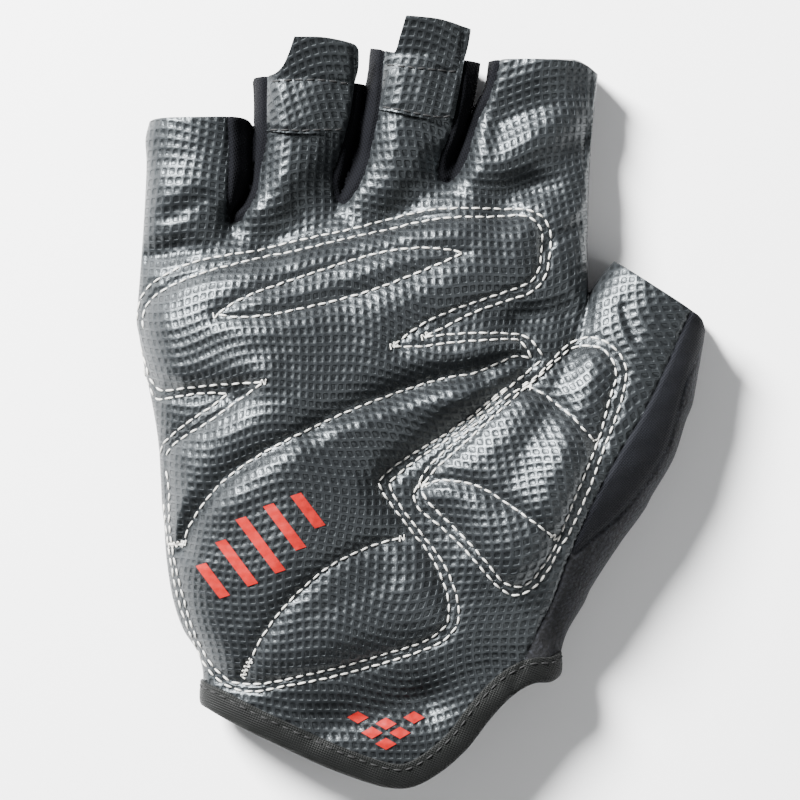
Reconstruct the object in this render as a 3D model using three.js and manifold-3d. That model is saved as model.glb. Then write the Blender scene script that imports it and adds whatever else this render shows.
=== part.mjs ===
// A half-finger cycling glove for the right hand, lying on its back with the palm up.
// Millimetres, +Z up, fingers towards +Y, thumb towards +X, origin below the middle of the glove.
import * as THREE from 'three';
import { mergeVertices } from 'three/addons/utils/BufferGeometryUtils.js';
import Module from 'manifold-3d';

const wasm = await Module();
wasm.setup();

// Driving dimensions
const palmWidth = 100;        // across the glove from the little finger side to the thumb crotch
const palmLength = 126;       // from the tongue of the wrist hem to the knuckle line
const palmRise = 15;          // top of the palm above the side seam
const fingerLength = 35;      // from the knuckle line to the end of the middle finger
const fingerWidth = 24;       // one finger opening, flat
const fingerRise = 8;         // top of a finger above the side seam
const seamHeight = 8;         // side seam above the surface that the glove lies on
const thumbWidth = 24.4;      // thumb opening, flat
const thumbRise = 9;          // top of the thumb opening above the side seam
const thumbLean = 35;         // turn of the thumb opening in the palm's plane, degrees
const wall = 1.3;             // leather and knit thickness
const seamGap = 0.3;          // clear space where two pieces meet
const padRise = 2.6;          // full height of a pad above the leather
const padEdge = 0.9;          // height of a pad at its stitched edge
const padShoulder = 6;        // from a pad's edge to its full height
const channelDepth = 1.3;     // how far a sewn channel sinks into a pad
const channelReach = 2.6;     // half the width of a sewn channel
const tabReach = 9;           // how far a pull tab stands out past the finger's end
const tabLap = 11.5;          // how far a pull tab laps down over the finger
const tabThickness = 1.4;     // leather of a pull tab
const cuffBand = 4.5;         // width of the binding round the wrist opening
const cuffWrap = 0.6;         // binding tape on each face of the wall
const gussetWidth = 3;        // knit strip seen beside each finger
const crotchWidth = 4.2;      // width of the knit strip at the bottom of a gap between fingers
const foldDepth = 2;          // depth of the main folds
const foldReach = 3.4;        // half the width of the main folds

// The body of the glove, one row for each section from the knuckles to the wrist.
// Across is a share of the palm's width, along of the palm's length, rise of the palm's rise.
const bodyRows = [
  { leftAcross: 0.016, leftAlong: 0.985, rightAcross: 1.001, rightAlong: 1.135, rise: 0.46 },
  { leftAcross: 0.010, leftAlong: 0.918, rightAcross: 1.000, rightAlong: 1.044, rise: 0.70 },
  { leftAcross: 0.003, leftAlong: 0.834, rightAcross: 1.000, rightAlong: 0.918, rise: 0.90 },
  { leftAcross: 0.015, leftAlong: 0.738, rightAcross: 0.997, rightAlong: 0.799, rise: 1.00 },
  { leftAcross: 0.034, leftAlong: 0.642, rightAcross: 0.975, rightAlong: 0.677, rise: 1.00 },
  { leftAcross: 0.052, leftAlong: 0.537, rightAcross: 0.948, rightAlong: 0.554, rise: 1.00 },
  { leftAcross: 0.069, leftAlong: 0.423, rightAcross: 0.918, rightAlong: 0.432, rise: 0.99 },
  { leftAcross: 0.082, leftAlong: 0.332, rightAcross: 0.909, rightAlong: 0.336, rise: 0.95 },
  { leftAcross: 0.109, leftAlong: 0.276, rightAcross: 0.924, rightAlong: 0.283, rise: 0.89 },
  { leftAcross: 0.137, leftAlong: 0.229, rightAcross: 0.933, rightAlong: 0.248, rise: 0.83 },
  { leftAcross: 0.146, leftAlong: 0.187, rightAcross: 0.935, rightAlong: 0.215, rise: 0.77 },
  { leftAcross: 0.142, leftAlong: 0.132, rightAcross: 0.933, rightAlong: 0.160, rise: 0.68 },
  { leftAcross: 0.140, leftAlong: -0.040, rightAcross: 0.933, rightAlong: -0.040, rise: 0.40 },
];

// The four finger tubes, a row for each section from the root to the opening.
// Across is a share of the palm's width, along of the finger length beyond the knuckle line,
// width of the finger width, and tilt turns the section in the palm's plane, in degrees.
const fingers = [
  { name: 'little', rows: [
    { across: 0.129, along: -0.32, width: 0.760, tilt: 0 },
    { across: 0.120, along: -0.02, width: 0.880, tilt: 0 },
    { across: 0.132, along: 0.27, width: 0.920, tilt: 0 },
    { across: 0.139, along: 0.58, width: 0.940, tilt: 1.6 },
  ] },
  { name: 'ring', rows: [
    { across: 0.3385, along: -0.27, width: 0.920, tilt: -4 },
    { across: 0.350, along: 0.07, width: 0.900, tilt: 1 },
    { across: 0.373, along: 0.44, width: 0.930, tilt: 0 },
    { across: 0.386, along: 0.84, width: 0.990, tilt: -3.8 },
  ] },
  { name: 'middle', rows: [
    { across: 0.566, along: -0.22, width: 0.940, tilt: 5.5 },
    { across: 0.575, along: 0.12, width: 0.910, tilt: 5 },
    { across: 0.602, along: 0.41, width: 0.900, tilt: 0 },
    { across: 0.6195, along: 0.63, width: 0.950, tilt: -3.8 },
    { across: 0.639, along: 1.00, width: 0.980, tilt: -7.4 },
  ] },
  { name: 'index', rows: [
    { across: 0.820, along: -0.22, width: 1.050, tilt: 2 },
    { across: 0.849, along: 0.16, width: 1.270, tilt: 0 },
    { across: 0.863, along: 0.41, width: 1.190, tilt: 0 },
    { across: 0.880, along: 0.62, width: 1.110, tilt: -2 },
    { across: 0.903, along: 0.934, width: 0.990, tilt: -4.7 },
  ] },
];

// The thumb tube from its opening to its root inside the palm.
// Width is a share of the thumb width, turn of the thumb's lean, rise of the thumb's rise.
const thumbRows = [
  { across: 1.157, along: 0.863, width: 1.00, turn: 1.02, rise: 1.00 },
  { across: 1.124, along: 0.791, width: 1.20, turn: 0.98, rise: 1.12 },
  { across: 1.086, along: 0.711, width: 1.31, turn: 0.97, rise: 1.25 },
  { across: 1.033, along: 0.626, width: 1.39, turn: 0.87, rise: 1.36 },
  { across: 0.963, along: 0.539, width: 1.43, turn: 0.83, rise: 1.44 },
  { across: 0.890, along: 0.442, width: 1.36, turn: 0.76, rise: 1.42 },
  { across: 0.840, along: 0.350, width: 1.26, turn: 0.64, rise: 1.33 },
  { across: 0.780, along: 0.275, width: 0.90, turn: 0.34, rise: 1.10 },
];

// The gaps between the fingers: the crotch of the leather, and how much knit strip shows
// on each side, as shares of gussetWidth.
const gussets = [
  { name: 'gusset_little_ring', left: 0, right: 1, across: 0.225, along: 0.986, showLeft: 1.5, showRight: 0.9 },
  { name: 'gusset_ring_middle', left: 1, right: 2, across: 0.458, along: 1.017, showLeft: 1.0, showRight: 1.0 },
  { name: 'gusset_middle_index', left: 2, right: 3, across: 0.687, along: 1.056, showLeft: 1.1, showRight: 0.8 },
];

// Lines across the palm as pairs of [share of palm width, share of palm length].
const hemLine = [
  [0.135, 0.178], [0.210, 0.147], [0.320, 0.111], [0.415, 0.079], [0.511, 0.051], [0.584, 0.033],
  [0.645, 0.051], [0.698, 0.087], [0.735, 0.121], [0.795, 0.171], [0.842, 0.201], [0.889, 0.219],
  [0.948, 0.224],
];
const backHemLine = [[0.135, 0.173], [0.948, 0.2236]];
const thumbSeam = [
  [0.845, 0.203], [0.885, 0.273], [0.920, 0.332], [0.965, 0.414], [1.005, 0.486], [1.063, 0.583],
  [1.109, 0.663], [1.177, 0.748], [1.222, 0.830],
];
const sideSeam = [
  ...thumbSeam.slice(0, 4), [1.027, 0.451], [1.071, 0.483], [1.119, 0.528], [1.166, 0.587], [1.187, 0.635],
  [1.212, 0.708], [1.252, 0.774],
];
const backThumbSeam = [[0.862, 0.150], [0.855, 0.330], [0.910, 0.550], [0.965, 0.720], [1.003, 0.868]];

// Pad outlines and sewn channels, in the same shares.
const upperPadOutline = [
  [0.014, 0.813], [0.030, 0.860], [0.074, 0.885], [0.201, 0.916], [0.408, 0.956], [0.559, 0.983],
  [0.696, 1.002], [0.849, 1.003], [0.890, 0.990], [0.904, 0.950], [0.885, 0.890], [0.830, 0.864],
  [0.737, 0.834], [0.649, 0.808], [0.597, 0.785], [0.715, 0.785], [0.819, 0.787], [0.860, 0.774],
  [0.870, 0.759], [0.799, 0.743], [0.722, 0.724], [0.614, 0.701], [0.533, 0.680], [0.452, 0.654],
  [0.381, 0.628], [0.315, 0.600], [0.252, 0.570], [0.195, 0.535], [0.151, 0.495], [0.120, 0.455],
  [0.100, 0.421], [0.080, 0.427], [0.067, 0.476], [0.061, 0.540], [0.062, 0.586], [0.120, 0.628],
  [0.170, 0.657], [0.247, 0.701], [0.170, 0.696], [0.049, 0.684], [0.025, 0.713], [0.014, 0.764],
];
const heelPadOutline = [
  [0.860, 0.738], [0.799, 0.728], [0.729, 0.710], [0.616, 0.687], [0.535, 0.665], [0.454, 0.638],
  [0.384, 0.612], [0.318, 0.584], [0.258, 0.556], [0.201, 0.521], [0.159, 0.485], [0.129, 0.445],
  [0.109, 0.408], [0.096, 0.385], [0.113, 0.320], [0.135, 0.274], [0.168, 0.226], [0.205, 0.192],
  [0.238, 0.180], [0.271, 0.177], [0.368, 0.192], [0.511, 0.220], [0.630, 0.250], [0.665, 0.264],
  [0.700, 0.292], [0.702, 0.327], [0.674, 0.376], [0.641, 0.425], [0.605, 0.465], [0.573, 0.498],
  [0.553, 0.533], [0.579, 0.554], [0.671, 0.605], [0.751, 0.656], [0.819, 0.706],
];
const thumbPadOutline = [
  [0.878, 0.712], [0.913, 0.738], [0.959, 0.771], [0.990, 0.778], [1.023, 0.771], [1.052, 0.753],
  [1.067, 0.726], [1.054, 0.671], [1.032, 0.614], [1.010, 0.570], [0.975, 0.498], [0.942, 0.442],
  [0.918, 0.399], [0.880, 0.362], [0.838, 0.344], [0.808, 0.353], [0.753, 0.404], [0.693, 0.451],
  [0.638, 0.495], [0.623, 0.516], [0.647, 0.554], [0.702, 0.593], [0.755, 0.628], [0.803, 0.663],
];
const upperPadChannels = [[
  [0.192, 0.825], [0.256, 0.858], [0.397, 0.898], [0.548, 0.934], [0.685, 0.938], [0.715, 0.932],
  [0.599, 0.890], [0.447, 0.850], [0.296, 0.823], [0.192, 0.825],
]];
const heelPadChannels = [[
  [0.587, 0.437], [0.478, 0.409], [0.377, 0.355], [0.300, 0.287], [0.249, 0.208],
]];
const thumbPadChannels = [
  [[0.858, 0.703], [0.893, 0.689], [0.965, 0.643], [1.019, 0.601]],
  [[0.630, 0.526], [0.713, 0.535], [0.799, 0.507], [0.858, 0.475], [0.929, 0.434]],
];

// Folds, dents and swellings of the top, each a ridge line from one place to another.
// Height is a share of the fold depth, reach of the fold's half width.
const folds = [
  { what: 'dip under the little finger', from: [0.03, 1.01], to: [0.20, 0.98], height: -0.9, reach: 1.0 },
  { what: 'valley at the ring finger', from: [0.33, 1.00], to: [0.42, 1.09], height: -0.7, reach: 1.0 },
  { what: 'valley at the middle finger', from: [0.55, 1.03], to: [0.65, 1.09], height: -0.8, reach: 1.0 },
  { what: 'index fold', from: [0.81, 1.055], to: [0.98, 1.13], height: -0.7, reach: 1.0 },
  { what: 'index ridge', from: [0.80, 1.115], to: [0.90, 1.155], height: 0.5, reach: 1.0 },
  { what: 'index tip fold', from: [0.94, 1.22], to: [1.00, 1.25], height: -0.5, reach: 1.0 },
  { what: 'hollow beside the thumb', from: [0.84, 0.81], to: [0.96, 0.85], height: -1.3, reach: 1.6 },
  { what: 'valley beside the thumb pad', from: [0.53, 0.52], to: [0.68, 0.63], height: -0.9, reach: 1.5 },
  { what: 'hollow of the palm', from: [0.42, 0.58], to: [0.60, 0.64], height: -0.9, reach: 5.0 },
  { what: 'valley of the left notch', from: [0.05, 0.69], to: [0.26, 0.70], height: -0.7, reach: 1.3 },
  { what: 'valley below the thumb pad', from: [0.70, 0.30], to: [0.80, 0.25], height: -0.8, reach: 2.0 },
  { what: 'swelling of the thumb base', from: [0.80, 0.55], to: [0.95, 0.68], height: 1.0, reach: 4.0 },
  { what: 'swelling of the heel', from: [0.20, 0.42], to: [0.28, 0.30], height: 0.8, reach: 5.0 },
  { what: 'crease of the thumb', from: [1.07, 0.84], to: [1.10, 0.79], height: -0.5, reach: 0.8 },
];

// Pull tab outlines beside the finger's opening. Side is a share of half the finger's width.
// Out is a share of the tab's reach past the opening, and down of its lap over the finger.
const tabs = [
  { name: 'ring_pull_tab', finger: 1, outline: [
    { side: -0.76, down: 1 }, { side: -0.76, down: 0.1 }, { side: -0.52, out: 0.20 }, { side: -0.40, out: 0.60 },
    { side: -0.26, out: 1 }, { side: 0.30, out: 0.99 }, { side: 0.72, out: 0.84 }, { side: 0.84, out: 0.68 },
    { side: 0.82, down: 0.08 }, { side: 0.70, down: 0.55 }, { side: 0.58, down: 1 },
  ] },
  { name: 'middle_pull_tab', finger: 2, outline: [
    { side: -0.84, down: 1.1 }, { side: -0.78, down: 0.65 }, { side: -0.69, down: 0.1 }, { side: -0.55, out: 0.08 },
    { side: -0.45, out: 0.50 }, { side: -0.33, out: 0.90 }, { side: 0.07, out: 0.87 }, { side: 0.50, out: 0.75 },
    { side: 0.82, out: 0.60 }, { side: 0.74, down: 0.12 }, { side: 0.62, down: 0.65 }, { side: 0.52, down: 1.1 },
  ] },
];

// How finely the curved skins are divided
const topDivisions = 14;
const bottomDivisions = 8;
const tubeTopDivisions = 10;
const tubeBottomDivisions = 4;
const stepsPerRow = 2;
const padFineness = 1.5;       // pads are divided this much more finely than the leather
const edgeCrowding = 0.55;     // how much the divisions crowd towards the two sides
const bodySquareness = 2.6;    // superellipse power of the body's sections
const tubeSquareness = 2.25;   // superellipse power of the finger and thumb sections
const undersideDrop = 1.12;    // depth of the underside before it is pressed flat, per seam height
const weldReach = 0.01;        // corners closer than this become one
const beyond = palmWidth + palmLength;   // a length that reaches past the whole glove

const radians = (degrees) => degrees * Math.PI / 180;

function place([across, along]) {
  return new THREE.Vector2(across * palmWidth, along * palmLength);
}

function ridge(point, start, end) {
  const line = new THREE.Line3(new THREE.Vector3(start.x, start.y, 0), new THREE.Vector3(end.x, end.y, 0));
  const flat = new THREE.Vector3(point.x, point.y, 0);
  return line.closestPointToPoint(flat, true, new THREE.Vector3()).distanceTo(flat);
}

function relief(x, y) {
  let height = 0;
  for (const fold of folds) {
    const away = ridge({ x, y }, place(fold.from), place(fold.to)) / (fold.reach * foldReach);
    height += fold.height * foldDepth * Math.exp(-away * away);
  }
  return height;
}

// Sections as plain numbers, so that the rows between them can be worked out
function bodySections() {
  return bodyRows.map((row) => {
    const left = place([row.leftAcross, row.leftAlong]);
    const right = place([row.rightAcross, row.rightAlong]);
    return [left.x, left.y, right.x, right.y, row.rise * palmRise];
  });
}

function tiltedSection(centre, width, degrees, rise) {
  const half = new THREE.Vector2(Math.cos(radians(degrees)), Math.sin(radians(degrees))).multiplyScalar(width / 2);
  return [centre.x - half.x, centre.y - half.y, centre.x + half.x, centre.y + half.y, rise];
}

function fingerSections(finger) {
  return finger.rows.map((row) => {
    const centre = new THREE.Vector2(row.across * palmWidth, palmLength + row.along * fingerLength);
    return tiltedSection(centre, row.width * fingerWidth, row.tilt, fingerRise);
  });
}

function thumbSections() {
  return thumbRows.map((row) => (
    tiltedSection(place([row.across, row.along]), row.width * thumbWidth, -row.turn * thumbLean, row.rise * thumbRise)
  ));
}

function smoothRows(rows, steps) {
  const fine = [];
  for (let i = 0; i < rows.length - 1; i += 1) {
    const before = rows[Math.max(i - 1, 0)];
    const after = rows[Math.min(i + 2, rows.length - 1)];
    for (let step = 0; step < steps; step += 1) {
      const t = step / steps;
      fine.push(rows[i].map((value, k) => {
        const next = rows[i + 1][k];
        const slopeIn = (next - before[k]) / 2;
        const slopeOut = (after[k] - value) / 2;
        const cubic = 2 * t ** 3 - 3 * t ** 2 + 1;
        return cubic * value + (t ** 3 - 2 * t ** 2 + t) * slopeIn + (1 - cubic) * next + (t ** 3 - t ** 2) * slopeOut;
      }));
    }
  }
  fine.push(rows[rows.length - 1]);
  return fine;
}

// A tube with one more row at each asked end, carried on in the tube's own direction
function runOut(rows, startLength, endLength) {
  const carried = rows.slice();
  const extend = (end, inner, length) => {
    const away = new THREE.Vector2(end[0] + end[2] - inner[0] - inner[2], end[1] + end[3] - inner[1] - inner[3]);
    away.setLength(length);
    return [end[0] + away.x, end[1] + away.y, end[2] + away.x, end[3] + away.y, end[4]];
  };
  if (startLength > 0) carried.unshift(extend(rows[0], rows[1], startLength));
  if (endLength > 0) carried.push(extend(rows[rows.length - 1], rows[rows.length - 2], endLength));
  return carried;
}

function spread(count) {
  return Array.from({ length: count + 1 }, (_, i) => {
    const even = -1 + 2 * i / count;
    const crowded = -Math.cos(Math.PI * i / count);
    return even + (crowded - even) * edgeCrowding;
  });
}

// A closed tube through the sections. grow moves the skin outwards, inwards where negative,
// and floor is the height at which the underside is pressed flat.
function tube(sections, { grow = () => 0, floor = 0, power, top, bottom }) {
  const upwards = sections[0][1] < sections[sections.length - 1][1];
  const rows = upwards ? sections : sections.slice().reverse();
  const rise = (s) => (1 - Math.abs(s) ** power) ** (1 / power);
  const topShares = spread(top);
  const bottomShares = spread(bottom).slice(1, -1).reverse();
  const ringSize = topShares.length + bottomShares.length;
  const positions = [];
  const profiles = [];
  for (const [leftX, leftY, rightX, rightY, height] of rows) {
    const centre = new THREE.Vector2((leftX + rightX) / 2, (leftY + rightY) / 2);
    const across = new THREE.Vector2(rightX - leftX, rightY - leftY).multiplyScalar(0.5);
    const half = across.length();
    across.divideScalar(half);
    const profile = [];
    const add = (share, up) => {
      const base = centre.clone().addScaledVector(across, share * half);
      const extra = grow(base.x, base.y);
      const point = centre.clone().addScaledVector(across, share * (half + extra));
      const level = rise(share);
      const z = up
        ? seamHeight + level * (height + extra + relief(base.x, base.y))
        : Math.max(seamHeight - level * (seamHeight * undersideDrop + extra), floor);
      positions.push(point.x, point.y, z);
      profile.push(new THREE.Vector2(share * half, z));
    };
    topShares.forEach((share) => add(share, true));
    bottomShares.forEach((share) => add(share, false));
    profiles.push(profile);
  }
  const index = [];
  for (let row = 0; row < rows.length - 1; row += 1) {
    for (let k = 0; k < ringSize; k += 1) {
      const next = (k + 1) % ringSize;
      const a = row * ringSize + k;
      const b = row * ringSize + next;
      const c = (row + 1) * ringSize + next;
      const d = (row + 1) * ringSize + k;
      index.push(a, b, c, a, c, d);
    }
  }
  const cap = (row, flip) => {
    const base = row * ringSize;
    for (const [a, b, c] of THREE.ShapeUtils.triangulateShape(profiles[row].slice().reverse(), [])) {
      const corners = [a, b, c].map((corner) => base + ringSize - 1 - corner);
      index.push(...(flip ? corners.reverse() : corners));
    }
  };
  cap(0, false);
  cap(rows.length - 1, true);
  const geometry = new THREE.BufferGeometry();
  geometry.setAttribute('position', new THREE.Float32BufferAttribute(positions, 3));
  geometry.setIndex(index);
  return solid(geometry);
}

function solid(geometry) {
  const bare = geometry.clone();
  bare.deleteAttribute('normal');
  bare.deleteAttribute('uv');
  const merged = mergeVertices(bare, 1e-4);
  return new wasm.Manifold(new wasm.Mesh({
    numProp: 3,
    vertProperties: new Float32Array(merged.attributes.position.array),
    triVerts: new Uint32Array(merged.index.array),
  }));
}

// An upright prism on a closed outline, from one height to another
function prism(outline, low = -palmRise, high = seamHeight + 3 * palmRise) {
  const geometry = new THREE.ExtrudeGeometry(new THREE.Shape(outline), { depth: high - low, bevelEnabled: false });
  geometry.translate(0, 0, low);
  return solid(geometry);
}

// A line moved sideways, to its left where positive
function beside(line, distance) {
  return line.map((point, i) => {
    const back = line[Math.max(i - 1, 0)];
    const ahead = line[Math.min(i + 1, line.length - 1)];
    const along = ahead.clone().sub(back).normalize();
    return new THREE.Vector2(point.x - along.y * distance, point.y + along.x * distance);
  });
}

function smoothLine(line, perSpan = 2) {
  return new THREE.SplineCurve(line).getPoints((line.length - 1) * perSpan);
}

// The side of a gap between fingers, a share from the finger's root to beyond its end
function fingerEdge(finger, side, inset) {
  return runOut(smoothRows(fingerSections(finger), stepsPerRow), 0, fingerLength).map(([lx, ly, rx, ry]) => {
    const inward = new THREE.Vector2(rx - lx, ry - ly).setLength(inset);
    return side === 'right' ? new THREE.Vector2(rx - inward.x, ry - inward.y) : new THREE.Vector2(lx + inward.x, ly + inward.y);
  });
}

// The outline of a knit strip: down one finger's edge, round the crotch and up the next finger.
// spare widens the outline on every side.
function gussetOutline(gusset, spare) {
  const crotch = place([gusset.across, gusset.along]);
  const low = crotch.y + crotchWidth / 2;
  const leftEdge = fingerEdge(fingers[gusset.left], 'right', gusset.showLeft * gussetWidth + spare);
  const rightEdge = fingerEdge(fingers[gusset.right], 'left', gusset.showRight * gussetWidth + spare);
  const above = (edge) => edge.filter((point) => point.y > low + crotchWidth);
  const round = [];
  const arcSteps = 6;
  for (let step = 0; step <= arcSteps; step += 1) {
    const angle = Math.PI + Math.PI * step / arcSteps;
    const radius = crotchWidth / 2 + spare;
    round.push(new THREE.Vector2(crotch.x + radius * Math.cos(angle), low + radius * Math.sin(angle)));
  }
  return [...above(leftEdge).reverse(), ...round, ...above(rightEdge)];
}

function depthInside(point, outline) {
  let nearest = Infinity;
  let inside = false;
  for (let i = 0, j = outline.length - 1; i < outline.length; j = i, i += 1) {
    const a = outline[i];
    const b = outline[j];
    nearest = Math.min(nearest, ridge(point, a, b));
    const crosses = (a.y > point.y) !== (b.y > point.y);
    if (crosses && point.x < (b.x - a.x) * (point.y - a.y) / (b.y - a.y) + a.x) inside = !inside;
  }
  return inside ? nearest : 0;
}

function nearestOnLine(point, line) {
  let nearest = Infinity;
  for (let i = 0; i < line.length - 1; i += 1) nearest = Math.min(nearest, ridge(point, line[i], line[i + 1]));
  return nearest;
}

// The whole glove as one skin, moved outwards by grow. open is how far it runs on past each
// opening, and fineness divides it more finely.
function gloveSkin(grow, { floor = 0, open = 0, fineness = 1 } = {}) {
  const steps = stepsPerRow * fineness;
  const bodyShape = {
    grow, floor, power: bodySquareness, top: topDivisions * fineness, bottom: bottomDivisions,
  };
  const tubeShape = {
    grow, floor, power: tubeSquareness, top: tubeTopDivisions * fineness, bottom: tubeBottomDivisions,
  };
  const sections = smoothRows(bodySections(), steps);
  if (open > 0) {
    // The web between the fingers keeps the thickness of the wall
    const [first, second] = sections;
    const share = wall / Math.hypot(second[0] - first[0], second[1] - first[1]);
    sections[0] = first.map((value, k) => value + (second[k] - value) * share);
  }
  // Where a tube's root stands out of the body, a wall closes it
  const rootWall = open > 0 ? 0 : wall;
  let skin = tube(runOut(sections, 0, open), bodyShape);
  for (const finger of fingers) {
    skin = skin.add(tube(runOut(smoothRows(fingerSections(finger), steps), rootWall, open), tubeShape));
  }
  return skin.add(tube(runOut(smoothRows(thumbSections(), steps), open, rootWall), tubeShape));
}

const outerSkin = gloveSkin(() => 0);
const innerSkin = gloveSkin(() => -wall, { floor: wall, open: wall * 4 });
const shell = outerSkin.subtract(innerSkin);

const gap = seamGap / 2;
const hem = smoothLine(hemLine.map(place));
const backHem = backHemLine.map(place);
const farSquare = [[-beyond, -beyond], [beyond, -beyond], [beyond, beyond], [-beyond, beyond]];
const farOutline = farSquare.map(([x, y]) => new THREE.Vector2(x, y));
const aboveSeam = prism(farOutline, seamHeight + gap);
const belowSeam = prism(farOutline, -palmRise, seamHeight - gap);

function belowLine(line) {
  const first = line[0];
  const last = line[line.length - 1];
  return prism([
    new THREE.Vector2(first.x - beyond, first.y), ...line, new THREE.Vector2(last.x + beyond, last.y),
    new THREE.Vector2(last.x + beyond, -beyond), new THREE.Vector2(first.x - beyond, -beyond),
  ].reverse());
}

function rightOfLine(line) {
  const first = line[0];
  const last = line[line.length - 1];
  return prism([
    ...line, new THREE.Vector2(last.x + palmWidth / 2, last.y + palmWidth),
    new THREE.Vector2(first.x + beyond, first.y - palmLength), new THREE.Vector2(first.x, first.y - palmLength),
  ].reverse());
}

// The knit strips between the fingers
const parts = {};
let leatherCut = belowLine(beside(hem, gap));
let backCut = belowLine(beside(backHem, gap));
for (const gusset of gussets) {
  parts[gusset.name] = shell.intersect(prism(gussetOutline(gusset, -gap)));
  const opening = prism(gussetOutline(gusset, gap));
  leatherCut = leatherCut.add(opening);
  backCut = backCut.add(opening);
}

// The thumb's panels
const thumbLine = thumbSeam.map(place);
const sideLine = sideSeam.map(place);
const backThumbLine = backThumbSeam.map(place);
leatherCut = leatherCut.add(rightOfLine(beside(thumbLine, gap)));
backCut = backCut.add(rightOfLine(beside(backThumbLine, gap)));

const upperSkin = shell.intersect(aboveSeam);
const lowerSkin = shell.intersect(belowSeam);
parts.palm_panel = upperSkin.subtract(leatherCut);
parts.back_panel = lowerSkin.subtract(backCut);
const thumbTop = upperSkin.intersect(rightOfLine(beside(thumbLine, -gap))).subtract(belowLine(beside(hem, gap)));
parts.thumb_side_panel = thumbTop.subtract(rightOfLine(beside(sideLine, gap)));

// The fuzzy panel: the strip right of the side seam, and the thumb's back below the side seam
const fuzzyFront = rightOfLine(beside(sideLine, -gap)).subtract(belowLine(beside(hem, gap)))
  .intersect(prism(farOutline, seamHeight - gap - wall));
const fuzzyBack = rightOfLine(beside(backThumbLine, -gap)).subtract(belowLine(beside(backHem, gap)))
  .intersect(prism(farOutline, -palmRise, seamHeight - gap));
parts.thumb_back_panel = shell.intersect(fuzzyFront.add(fuzzyBack));

// The binding round the wrist opening, thicker than the wall on both faces
function band(line) {
  return belowLine(beside(line, -gap)).subtract(belowLine(beside(line, -cuffBand)));
}
const cuffOuter = gloveSkin(() => cuffWrap);
const cuffInner = gloveSkin(() => -wall - cuffWrap, { floor: wall + cuffWrap, open: wall * 4 });
const palmBand = band(hem).intersect(prism(farOutline, seamHeight - gap));
const backBand = band(backHem).intersect(prism(farOutline, -palmRise, seamHeight + gap));
parts.cuff_binding = cuffOuter.subtract(cuffInner).intersect(palmBand.add(backBand));

// A pad: crowned between its stitched edges, sunk along its channels, a seam's gap off the leather
const padBase = gloveSkin(() => seamGap);
function pad(outlineShares, channelShares) {
  const outline = outlineShares.map(place);
  const channels = channelShares.map((channel) => channel.map(place));
  const crown = (x, y) => {
    const depth = Math.min(depthInside({ x, y }, outline) / padShoulder, 1);
    let height = padEdge + (padRise - padEdge) * Math.sin(depth * Math.PI / 2);
    for (const channel of channels) {
      const away = nearestOnLine({ x, y }, channel) / channelReach;
      height -= Math.min(channelDepth, height - padEdge) * Math.exp(-away * away);
    }
    return seamGap + height;
  };
  const padTop = gloveSkin(crown, { fineness: padFineness });
  return padTop.subtract(padBase).intersect(prism(outline, seamHeight + gap));
}
parts.upper_palm_pad = pad(upperPadOutline, upperPadChannels);
parts.heel_pad = pad(heelPadOutline, heelPadChannels);
parts.thumb_pad = pad(thumbPadOutline, thumbPadChannels);

// A pull tab: a second layer of leather over the finger's front that stands out past its opening
function pullTab(tab) {
  const finger = fingers[tab.finger];
  const tip = finger.rows[finger.rows.length - 1];
  const outline = tab.outline.map(({ side, out = 0, down = 0 }) => new THREE.Vector2(
    tip.across * palmWidth + side * tip.width * fingerWidth / 2,
    palmLength + tip.along * fingerLength + out * tabReach - down * tabLap,
  ));
  const sections = runOut(smoothRows(fingerSections(finger), stepsPerRow), 0, tabReach * 2);
  const shape = { power: tubeSquareness, top: tubeTopDivisions, bottom: tubeBottomDivisions };
  const over = tube(sections, { ...shape, grow: () => seamGap + tabThickness });
  const under = tube(sections, { ...shape, grow: () => seamGap });
  return over.subtract(under).intersect(prism(outline.reverse(), seamHeight + gap));
}
for (const tab of tabs) parts[tab.name] = pullTab(tab);

const group = new THREE.Group();
const finish = (color, roughness) => new THREE.MeshStandardMaterial({ color, roughness, metalness: 0 });
const leather = finish(0x3c4042, 0.55);
const padLeather = finish(0x4a4e50, 0.5);
const knit = finish(0x1e2028, 0.85);
const fuzzy = finish(0x37393e, 0.95);
const tape = finish(0x2d2f2d, 0.7);
const finishes = {
  palm_panel: leather,
  upper_palm_pad: padLeather,
  heel_pad: padLeather,
  thumb_pad: padLeather,
  thumb_side_panel: tape,
  thumb_back_panel: fuzzy,
  ring_pull_tab: leather,
  middle_pull_tab: leather,
  cuff_binding: tape,
};

// The solid's faces as a geometry, with corners that lie within weldReach of each other made one
function welded(shape) {
  const mesh = shape.getMesh();
  const kept = [];
  const cells = new Map();
  const cellOf = (value) => Math.floor(value / weldReach);
  const keyOf = (x, y, z) => `${x},${y},${z}`;
  const sides = [-1, 0, 1];
  const keep = (point) => {
    const [x, y, z] = [cellOf(point.x), cellOf(point.y), cellOf(point.z)];
    for (const i of sides) {
      for (const j of sides) {
        for (const k of sides) {
          const near = cells.get(keyOf(x + i, y + j, z + k));
          if (near !== undefined && kept[near].distanceTo(point) < weldReach) return near;
        }
      }
    }
    cells.set(keyOf(x, y, z), kept.length);
    kept.push(point);
    return kept.length - 1;
  };
  const renumbered = [];
  for (let i = 0; i < mesh.vertProperties.length; i += 3) {
    renumbered.push(keep(new THREE.Vector3().fromArray(mesh.vertProperties, i)));
  }
  const faces = [];
  for (let i = 0; i < mesh.triVerts.length; i += 3) {
    const corners = [0, 1, 2].map((k) => renumbered[mesh.triVerts[i + k]]);
    if (new Set(corners).size === 3) faces.push(...corners);
  }
  const geometry = new THREE.BufferGeometry().setFromPoints(kept);
  geometry.setIndex(faces);
  return geometry;
}

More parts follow.
